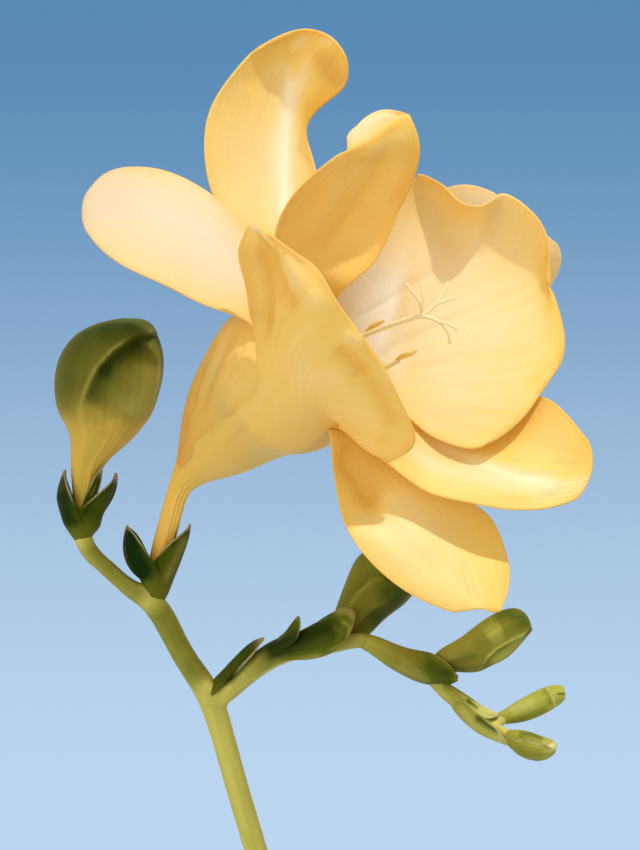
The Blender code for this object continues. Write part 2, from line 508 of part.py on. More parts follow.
def vase_side(count):
    """Outer and inner faces of the vase's wall as (radius, z), from the foot up."""
    outer = spline(VASE_SIDE, np.linspace(0, 1, count))
    t = unit(np.gradient(outer, axis=0))
    inner = outer + np.stack([-t[:, 1], t[:, 0]], axis=1) * VASE_WALL
    return [tuple(p) for p in outer], [tuple(p) for p in inner if p[1] > VASE_FLOOR + 3.0]


def build_vase():
    outer, inner = vase_side(15)
    foot = [(0.0, 0.0), (19.2, 0.0), (20.3, 0.5)]
    lip = [(10.2, VASE_HEIGHT - 0.3), (9.3, VASE_HEIGHT), (8.2, VASE_HEIGHT - 0.3)]
    floor = [(inner[0][0] - 0.3, VASE_FLOOR + 2.6), (inner[0][0] - 1.7, VASE_FLOOR), (0.0, VASE_FLOOR)]
    return lathe("vase", foot + outer + lip + inner[::-1] + floor, VASE_SEGMENTS)


def build_water():
    inner = vase_side(15)[1]
    top = np.interp(WATER_LEVEL, [z for r, z in inner], [r for r, z in inner]) - GAP - 0.1
    side = [(r - GAP, z) for r, z in inner if z < WATER_LEVEL - 2.0]
    foot = side[0][0]
    profile = [(0.0, VASE_FLOOR + GAP), (foot - 1.8, VASE_FLOOR + GAP), (foot - 0.4, VASE_FLOOR + 2.8)] + side
    profile += [(top, WATER_LEVEL), (0.0, WATER_LEVEL)]
    water = lathe("water", profile, VASE_SEGMENTS)
    return cut(water, round_body("hole", lower_stem_rows(), 12, 10, start_cap=GAP, grow=GAP + 0.1))


def build():
    for obj in list(bpy.data.objects):
        bpy.data.objects.remove(obj)
    glass = material("glass", (0.86, 0.93, 0.92), 0.05, alpha=0.35)
    water = material("water", (0.80, 0.90, 0.92), 0.08, alpha=0.3)
    green = material("stem_green", (0.42, 0.47, 0.13), 0.5)
    bract = material("bract_green", (0.05, 0.13, 0.02), 0.5)
    bud = material("bud_green", (0.30, 0.36, 0.08), 0.5)
    petal = material("petal_yellow", (0.98, 0.80, 0.33), 0.5)
    pistil = material("pistil_cream", (0.97, 0.85, 0.50), 0.5)
    finish(build_vase(), "vase", glass)
    finish(build_water(), "water", water)
    finish(build_stem(), "stem", green)
    for key in BRACTS:
        finish(build_bracts(key), key, bract)
    for key in BUDS:
        finish(build_bud(key), key, bud)
    finish(build_bloom(), "bloom", petal)
    finish(build_pistil(), "pistil", pistil)


build()
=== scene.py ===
"""Freesia spray in a plain glass bud vase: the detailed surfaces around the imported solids.

Places in the spray are millimetres as (x, depth, z): x and z are measured on the plane through
the vase's axis, as seen from the front eye point, and depth runs away from the eye.
"""
import math

import bmesh
import bpy
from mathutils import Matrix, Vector
import numpy as np


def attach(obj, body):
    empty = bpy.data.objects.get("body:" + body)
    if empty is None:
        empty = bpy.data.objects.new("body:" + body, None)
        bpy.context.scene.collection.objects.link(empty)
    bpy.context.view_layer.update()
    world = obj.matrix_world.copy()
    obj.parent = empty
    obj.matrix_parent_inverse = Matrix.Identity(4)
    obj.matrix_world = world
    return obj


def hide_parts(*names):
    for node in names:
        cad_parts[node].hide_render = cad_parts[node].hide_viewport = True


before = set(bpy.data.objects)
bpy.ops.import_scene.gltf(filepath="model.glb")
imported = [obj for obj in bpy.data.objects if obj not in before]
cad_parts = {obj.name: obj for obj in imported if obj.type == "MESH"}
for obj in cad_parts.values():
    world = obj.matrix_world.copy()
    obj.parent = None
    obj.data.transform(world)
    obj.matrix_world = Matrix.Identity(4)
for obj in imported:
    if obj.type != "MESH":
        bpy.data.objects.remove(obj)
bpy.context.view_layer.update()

MM = 0.001
TURN = 2 * math.pi
FRONT = np.array((0.0, -1.0, 0.0))

# Eye point of the photo: how far it is from the vase's axis, and its (x, z)
EYE = 600.0
CENTRE = (-5.5, 171.0)

# Direction of the throat's upper side, and the tube that leads to the throat: rows of (x, depth, z, radius)
THROAT_UP = np.array((-0.375, 0.375, 0.848))
TUBE = [(-19.6, 0, -18.2, 1.28), (-18.8, 0, -14.4, 1.3), (-17.6, -0.3, -9.9, 1.25), (-16.2, -1.1, -6.5, 1.7),
        (-13.5, -2.8, -3.3, 3.9), (-11.2, -4.7, -0.6, 5.9), (-7.9, -7.3, 2.7, 8.1), (-4.7, -10, 5, 9.7),
        (-1.9, -12.8, 7.5, 9.35)]
TUBE_LAST = len(TUBE) - 1
# The lower side of the funnel lies flatter: how deep, round which angle, how widely, and over which rows
SLACK_DEPTH, SLACK_AT, SLACK_SPREAD, SLACK_ROWS = 0.9, 185, 38, (4.4, 6.6)


def seen(points):
    """Places in the row frame, in millimetres, from places as seen from the eye point."""
    p = np.asarray(points, float)
    k = (EYE + p[..., 1]) / EYE
    out = p.copy()
    out[..., 0] = CENTRE[0] + p[..., 0] * k
    out[..., 2] = CENTRE[1] + p[..., 2] * k
    return out


def flat_of(points):
    """Places as seen from the eye point: the other way round from seen."""
    p = np.asarray(points, float)
    k = (EYE + p[..., 1]) / EYE
    out = p.copy()
    out[..., 0] = (p[..., 0] - CENTRE[0]) / k
    out[..., 2] = (p[..., 2] - CENTRE[1]) / k
    return out


def spline(points, t, knots=None):
    """Smooth curve through three points or more, read at each t from 0 to 1; knots says how far along each lies."""
    p = np.asarray(points, float)
    n = len(p)
    t = np.asarray(t, float)
    x = np.linspace(0, 1, n) if knots is None else np.asarray(knots, float)
    if n == 3:
        c = np.polyfit(x, p, 2)
        return np.outer(t * t, c[0]) + np.outer(t, c[1]) + c[2]
    h = np.diff(x)
    a = np.zeros((n, n))
    b = np.zeros_like(p)
    a[0, :3] = h[1], -h[0] - h[1], h[0]
    a[-1, -3:] = h[-1], -h[-1] - h[-2], h[-2]
    for i in range(1, n - 1):
        a[i, i - 1:i + 2] = h[i - 1], 2 * (h[i - 1] + h[i]), h[i]
        b[i] = 6 * ((p[i + 1] - p[i]) / h[i] - (p[i] - p[i - 1]) / h[i - 1])
    m = np.linalg.solve(a, b)
    i = np.clip(np.searchsorted(x, t, side="right") - 1, 0, n - 2)
    w = h[i][:, None]
    g = (x[i + 1] - t)[:, None] / w
    f = 1 - g
    return g * p[i] + f * p[i + 1] + ((g ** 3 - g) * m[i] + (f ** 3 - f) * m[i + 1]) * w * w / 6


def unit(v):
    v = np.asarray(v, float)
    return v / np.maximum(np.linalg.norm(v, axis=-1, keepdims=True), 1e-9)


def path_frame(path):
    """Directions along a path, towards the eye and across it, at each of its places."""
    along = unit(np.gradient(path, axis=0))
    front = unit(FRONT - (along @ FRONT)[:, None] * along)
    return along, front, np.cross(along, front)


def pace(rows):
    """How far along a run of rows each of them lies, from 0 to 1."""
    gaps = np.linalg.norm(np.diff(np.asarray(rows, float)[:, :3], axis=0), axis=1)
    return np.concatenate([[0], np.cumsum(gaps)]) / gaps.sum()


def level(rows, depth=0.0):
    """Rows of (x, z, ...) with one depth put in after x."""
    return [(x, depth, *rest) for x, *rest in rows]


def smooth_step(x, low, high):
    t = np.clip((x - low) / (high - low), 0, 1)
    return t * t * (3 - 2 * t)


def seed_of(name):
    return sum(map(ord, name))


def ripple(x, seed, waves=9):
    """Smooth wandering value about 0 along x, the same each time for a seed."""
    rng = np.random.default_rng(seed)
    out = np.zeros_like(np.asarray(x, float))
    for _ in range(waves):
        out += np.sin(x * rng.uniform(0.5, 2.2) * TURN + rng.uniform(0, TURN))
    return out / math.sqrt(waves)


def set_values(mesh, values):
    """Named values at a mesh's points, one number each or three."""
    for key, value in values.items():
        value = np.asarray(value, np.float32)
        kind, field = ("FLOAT", "value") if value.ndim == 1 else ("FLOAT_VECTOR", "vector")
        mesh.attributes.new(key, kind, "POINT").data.foreach_set(field, value.ravel())


def shade_smooth(mesh):
    mesh.polygons.foreach_set("use_smooth", [True] * len(mesh.polygons))
    mesh.update()


def link_object(name, data):
    obj = bpy.data.objects.new(name, data)
    bpy.context.scene.collection.objects.link(obj)
    return obj


def mesh_object(name, verts, faces, values):
    """Smooth mesh object from millimetre vertices, with named values at its points."""
    mesh = bpy.data.meshes.new(name)
    mesh.from_pydata((np.asarray(verts) * MM).tolist(), [], faces)
    set_values(mesh, values)
    shade_smooth(mesh)
    return link_object(name, mesh)


def place(obj, slot, mat, *nodes):
    """Dress a finished piece and tie it to the model."""
    obj.data.materials.clear()
    obj.data.materials.append(mat)
    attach(obj, "root")
    if nodes:
        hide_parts(*nodes)


# Thin leaves

RIM_STEPS = (0.0, 0.003, 0.009, 0.018)
RIM_ROUND = 0.62
WELD_DISTANCE = 2e-6


def rim_spaced(n, both=True):
    """Steps from 0 to 1, close together at the rim."""
    low = list(RIM_STEPS) if both else [0.0]
    high = [1 - x for x in reversed(RIM_STEPS)]
    return np.array(low[:-1] + list(np.linspace(low[-1], high[0], n)) + high[1:])


def grid_normal(grid):
    return unit(np.cross(np.gradient(grid, axis=0), np.gradient(grid, axis=1)))


def sheet(name, grid, u, v, thickness, values):
    """Closed leaf over a grid of places, with a rounded rim. Rows run from its root to its tip."""
    nu, nv = grid.shape[:2]
    step_v = np.linalg.norm(np.diff(grid, axis=1), axis=2)
    along_v = np.concatenate([np.zeros((nu, 1)), np.cumsum(step_v, axis=1)], axis=1)
    step_u = np.linalg.norm(np.diff(grid, axis=0), axis=2)
    to_tip = np.concatenate([np.cumsum(step_u[::-1], axis=0)[::-1], np.zeros((1, nv))])
    edge = np.minimum(np.minimum(along_v, along_v[:, -1:] - along_v), to_tip)
    round_rim = np.sqrt(np.clip(1 - (1 - np.clip(edge / (RIM_ROUND * thickness), 0, 1)) ** 2, 0, 1))
    half = (thickness / 2 * round_rim)[..., None] * grid_normal(grid)
    verts = np.concatenate([(grid + half).reshape(-1, 3), (grid - half).reshape(-1, 3)])
    off = nu * nv
    i, j = np.meshgrid(np.arange(nu - 1), np.arange(nv - 1), indexing="ij")
    a = (i * nv + j).ravel()
    top = np.stack([a, a + nv, a + nv + 1, a + 1], axis=1)
    faces = np.concatenate([top, top[:, ::-1] + off]).tolist()
    rim = list(range(nv)) + [k * nv + nv - 1 for k in range(1, nu)]
    rim += [(nu - 1) * nv + k for k in range(nv - 2, -1, -1)] + [k * nv for k in range(nu - 2, 0, -1)]
    faces += [(a, b, off + b, off + a) for a, b in zip(rim, rim[1:] + rim[:1])]
    leaf = np.stack(np.broadcast_arrays(v[None, :], u[:, None], edge), axis=2).reshape(-1, 3)
    data = {"leaf": np.tile(leaf, (2, 1))}
    for key, value in values.items():
        data[key] = np.tile(np.broadcast_to(value, (nu, nv)).ravel(), 2)
    obj = mesh_object(name, verts, faces, data)
    merge_rim(obj)
    return obj


def merge_rim(obj):
    """Join the two faces of a leaf where its rim has no thickness."""
    bm = bmesh.new()
    bm.from_mesh(obj.data)
    bmesh.ops.remove_doubles(bm, verts=bm.verts, dist=WELD_DISTANCE)
    bmesh.ops.recalc_face_normals(bm, faces=bm.faces)
    bm.to_mesh(obj.data)
    bm.free()


def tube_wall(t, phi, offset):
    """Place on the tube's outer face: t counts its rows, phi turns in degrees from the throat's upper side."""
    t, phi = np.asarray(t, float), np.asarray(phi, float)
    step = 1e-3
    data = spline(TUBE, t / TUBE_LAST)
    along = unit(spline(TUBE, (t + step) / TUBE_LAST)[:, :3] - spline(TUBE, (t - step) / TUBE_LAST)[:, :3])
    up = unit(THROAT_UP - (along @ THROAT_UP)[:, None] * along)
    side = np.cross(along, up)
    k = (EYE + data[:, 1]) / EYE
    slack = SLACK_DEPTH * np.exp(-((phi - SLACK_AT) / SLACK_SPREAD) ** 2) * smooth_step(t, *SLACK_ROWS)
    r = ((data[:, 3] + offset - slack) / k)[:, None]
    a = np.radians(phi)[:, None]
    return data[:, :3] + r * (up * np.cos(a) + side * np.sin(a))


# Free parts of the tepals: rows from the throat to the tip, each running across the tepal
TEPALS = {
    "left": dict(root=(20, 113), rows=[
        [(-7.6, -13, 19.6), (-8, -14.4, 17.4), (-8.1, -15.8, 15.2), (-7.8, -17.4, 12.9), (-7.2, -19.3, 10.8)],
        [(-11.5, -10.2, 26.4), (-12.2, -12.4, 22.8), (-12.5, -14.6, 19.6), (-12.5, -17.2, 16.6), (-12.2, -20, 13.8)],
        [(-16.8, -8.8, 29.8), (-17.3, -11.4, 26.4), (-17.5, -14, 22.9), (-17.5, -17, 19.5), (-17.4, -20.4, 16.1)],
        [(-22, -8.6, 31), (-22.6, -10.8, 28.4), (-22.8, -13.4, 25.2), (-22.7, -16.4, 21.9), (-22.4, -19.8, 18.5)],
        [(-25.9, -8.8, 30), (-26.7, -10.4, 28.2), (-26.9, -12.6, 26), (-26.7, -15.2, 23.5), (-26.1, -18.2, 20.9)],
        [(-27.7, -10, 27.9), (-28.4, -11, 26.9), (-28.6, -12.4, 25.5), (-28.5, -13.8, 24.3), (-28, -15.2, 23.2)]]),
    "upper": dict(root=(-22, 38), rows=[
        [(-0.4, -5, 20.4), (-2.9, -5.2, 20.9), (-5.4, -6.4, 21.2), (-7.8, -8.2, 21.4), (-10.2, -10.2, 21.6)],
        [(0.2, -3.4, 26.6), (-2.9, -2.6, 27.2), (-6.2, -3, 27.6), (-9.6, -5, 27.9), (-13, -7.8, 28.1)],
        [(-1, -2.6, 32.4), (-3.3, -1.2, 33.2), (-6.8, -1.6, 33.8), (-10.4, -3.8, 34), (-13.9, -6.6, 34)],
        [(-1.7, -2.4, 35.6), (-2.6, -1, 37.4), (-5.6, -0.6, 38.8), (-9, -2.4, 39.4), (-12.7, -5.2, 39)],
        [(1, -3.4, 38.8), (-1.3, -1.8, 41.4), (-3.6, -0.6, 43), (-6.6, -1.6, 43.6), (-9.6, -3.8, 43.3)],
        [(3.3, -4.2, 41.6), (1.2, -3.4, 45.2), (-0.6, -2.2, 46.4), (-3.2, -1.8, 46.9), (-6.2, -3, 45.7)],
        [(3, -5, 44), (1.9, -4.6, 46), (0.2, -4, 47.1), (-1.6, -3.4, 47.4), (-3.4, -3.4, 47)]]),
    "right_back": dict(root=(272, 330), rows=[
        [(10.5, -3.5, 10.2), (8.6, -1.6, 14.6), (4, -2.6, 19.2)],
        [(20, 0.6, 11.6), (16.6, 2.6, 19.2), (9.6, 0.6, 25.2)],
        [(26.4, 0.4, 15.2), (22.2, 3, 22.8), (14.6, 0.8, 28.2)],
        [(28.9, -0.8, 19.6), (24.8, 1.2, 24), (18.4, -0.2, 28.7)],
        [(28.3, -1.4, 21.8), (25, -0.2, 24.4), (21, -0.9, 27.7)]]),
    "lower_right": dict(root=(181, 250), rows=[
        [(4.4, -18.05, -2.1), (8, -17.6, -1.9), (10.2, -15.2, -0.9), (11.2, -12.8, 1), (11.6, -10.6, 2.8)],
        [(7.6, -20, -4.3), (10.2, -18.3, -3.6), (12.2, -16, -2.5), (13.4, -13.3, -0.2), (14.2, -10.7, 2.2)],
        [(11.4, -20.5, -7.2), (13.1, -18.6, -5.6), (14.6, -16.5, -3.9), (15.8, -13.6, -1.3), (16.8, -10.8, 1.6)],
        [(17, -20.8, -9.1), (18.8, -18.9, -7.3), (20.4, -16.8, -5.2), (21.6, -13.8, -2), (22.4, -10.8, 1.4)],
        [(22.6, -20.2, -10.2), (24, -18.5, -8.2), (25.2, -16.8, -5.9), (26.2, -13.6, -1.5), (26.4, -11, 3.4)],
        [(27.4, -18.6, -10), (28.4, -17.2, -8.4), (29.2, -15.8, -6), (29.9, -13.6, -2.4), (30, -12, 0.9)],
        [(30.6, -16.6, -8.9), (31.9, -16, -7.5), (32.7, -15.2, -5.3), (32.7, -14.4, -3.4), (32.2, -13.6, -1.8)]]),
    "bottom": dict(root=(176, 222), rows=[
        [(1.4, -17, -3.6), (3.3, -16.7, -3.7), (5.4, -16.3, -3.8), (7.8, -15.5, -3.9), (10, -14.2, -4)],
        [(2, -17.6, -8.2), (4.8, -17.7, -8.6), (8, -17.9, -8.8), (11.6, -17.4, -8.5), (15.4, -14.8, -7.9)],
        [(3.3, -20.6, -12.6), (7, -20.8, -13.2), (11.2, -20.2, -13.4), (15.6, -17.8, -12.6), (20.2, -14.4, -10.8)],
        [(6.8, -21.8, -17.2), (10.4, -21.8, -17.8), (14.6, -21.2, -17.6), (18.6, -19.2, -16.6), (22.1, -16.2, -14.6)],
        [(12.4, -22.4, -21.1), (15, -22.4, -21.2), (17.6, -22, -20.9), (20.3, -20.8, -20.2), (22.8, -18.8, -18.9)],
        [(16.2, -22.6, -22.4), (17.7, -22.4, -22.3), (19.2, -22.2, -22.1), (20.4, -21.8, -22.4),
         (21.6, -21.4, -22.4)]]),
    "upper_middle": dict(root=(312, 372), rows=[
        [(3, -10, 16.4), (0.6, -9.6, 18), (-1.8, -9.8, 19), (-3.8, -10.6, 19.8), (-5.8, -11.8, 20.4)],
        [(6.6, -9.8, 19.6), (3.8, -8.8, 21.4), (0.8, -9, 22.9), (-2.2, -10.4, 24.2), (-5, -12.8, 24.7)],
        [(9.2, -11, 25), (6.8, -10.2, 26.2), (4, -10.4, 27.4), (1, -11.8, 28.4), (-2.3, -14.4, 28.7)],
        [(11.5, -12.6, 30.2), (9.4, -12.2, 30.9), (7, -12.6, 31.5), (4.2, -13.6, 31.8), (1.2, -15.4, 31.7)],
        [(11.9, -13.6, 34.2), (9.8, -13.8, 33.8), (7.4, -14.2, 33), (5, -14.6, 32.6), (2.6, -15.2, 32.7)],
        [(10.9, -14, 37), (8.9, -14.4, 36.4), (6.9, -14.7, 35), (4.9, -14.8, 33.9), (3.2, -14.7, 33.1)],
        [(10.8, -13.5, 37.15), (8.85, -13.6, 36.85), (6.85, -13.7, 35.7), (4.85, -13.8, 34.55), (3.25, -14, 33.5)],
        [(10.4, -12.6, 37.4), (8.4, -10.8, 37.9), (6.6, -10.2, 37.6), (4.9, -10.4, 36.5), (3.5, -11.6, 34.6)]]),
    "right": dict(root=(236, 328), rows=[
        [(11.4, -14.8, 0.2), (12.4, -9.6, 5), (12, -6.6, 11.2), (9, -6.2, 17), (4.6, -7.6, 21.6)],
        [(14.8, -16.6, -2), (18.8, -10.6, 4.6), (18.4, -5.8, 13.6), (13.8, -4.8, 21), (8.4, -6.2, 26.4)],
        [(17.8, -17.2, -2.8), (24.6, -11.4, 5), (24.4, -5, 16.4), (17.6, -3.8, 23.6), (10.8, -5.6, 29)],
        [(20.4, -16.8, -1.9), (23.4, -15.4, 0.8), (25.6, -13.6, 3), (27.1, -11.6, 5.4), (28.6, -9.4, 7.2),
         (29.4, -8, 9.8), (28.8, -7, 13.4), (27.8, -6.6, 16.2), (27.1, -6.4, 17.8), (27.4, -6.4, 20.4),
         (27, -6.4, 23.4), (25.2, -6.2, 25.9), (23, -6, 27.5), (21.4, -6.2, 27.7), (20, -7.6, 26.7),
         (18.2, -8.6, 26.3), (16.4, -8, 27.1), (15, -7.2, 28.6), (13, -6.4, 29.8), (11.7, -6.2, 30.1)]]),
    "front": dict(root=(108, 184), rows=[
        [(-8.7, -20.6, 17), (-6.2, -24, 13.2), (-2.2, -25.6, 8.6), (1.2, -23.4, 3.8), (4, -18, -1.9)],
        [(-9.4, -22.4, 21.2), (-4.4, -26.6, 16.6), (1.2, -27.8, 10.6), (6, -25.4, 3.8), (7, -19.7, -3.8)],
        [(-9, -23.8, 22.9), (-7.9, -25, 24.2), (-6.3, -26.4, 23.4), (-3.6, -27.6, 21.3), (-0.4, -28.7, 18.9),
         (1.9, -29.3, 15.2), (4.8, -28.5, 11.1), (7.8, -26.9, 6.8), (9.7, -25.4, 3), (11.3, -23.4, -0.6),
         (11, -21.8, -2.9), (8.3, -20.4, -4.4)]]),
}
# Rows of the tube at which the tepals' feet are read, and how many places across each
ROOT_ROWS = (2.6, 3.4, 4.3, 5.2, 6.1, 7.0, 7.75)
ROOT_PLACES = 7

# Pale flushes on the tepals, the narrow ones along the upper and lower right tepals' midribs being painted highlights:
# (place across, place along, half width, half length, strength), as shares of the tepal
PALE_FLUSHES_AND_HIGHLIGHTS = {
    "left": [(0.4, 0.8, 0.5, 0.35, 1.1), (0.5, 0.5, 0.5, 0.3, 0.4), (0.5, 1, 0.6, 0.12, 0.7)],
    "upper": [(0.35, 0.75, 0.10, 0.35, 0.8), (0.5, 0.6, 0.5, 0.3, 0.5)],
    "right": [(0.5, 0.45, 0.6, 0.25, 0.9), (0.5, 0.75, 0.5, 0.25, 0.6)],
    "right_back": [(0.5, 0.9, 0.9, 0.6, 1.9)],
    "lower_right": [(0.35, 0.7, 0.14, 0.4, 0.6), (0.5, 0.5, 0.4, 0.3, 0.1)],
    "bottom": [(0.5, 0.7, 0.4, 0.3, 0.35)],
    "upper_middle": [(0.5, 1, 0.6, 0.08, 0.4)],
}


def tepal_rows(key):
    """Rows of a tepal from deep in the tube's wall to its tip."""
    first, last = TEPALS[key]["root"]
    s = np.linspace(0, 1, ROOT_PLACES)
    rows = []
    for t in ROOT_ROWS:
        deep = 1 - smooth_step(t, 4.0, 7.2)
        offset = -(0.15 + 0.35 * deep) * np.abs(2 * s - 1) ** 6 - 0.32 * (1 - smooth_step(t, 2.4, 4.4))
        rows.append(tube_wall(np.full(ROOT_PLACES, t), first + (last - first) * s, offset))
    return rows + TEPALS[key]["rows"]


def tepal_grid(key, u, v):
    """Grid of places over a tepal, and how far along it each of its rows lies."""
    across = np.array([spline(r, v) for r in tepal_rows(key)])
    gaps = np.linalg.norm(np.diff(across, axis=0), axis=2).mean(axis=1)
    knots = np.concatenate([[0], np.cumsum(gaps)]) / gaps.sum()
    return np.stack([spline(across[:, j], u, knots) for j in range(len(v))], axis=1), knots
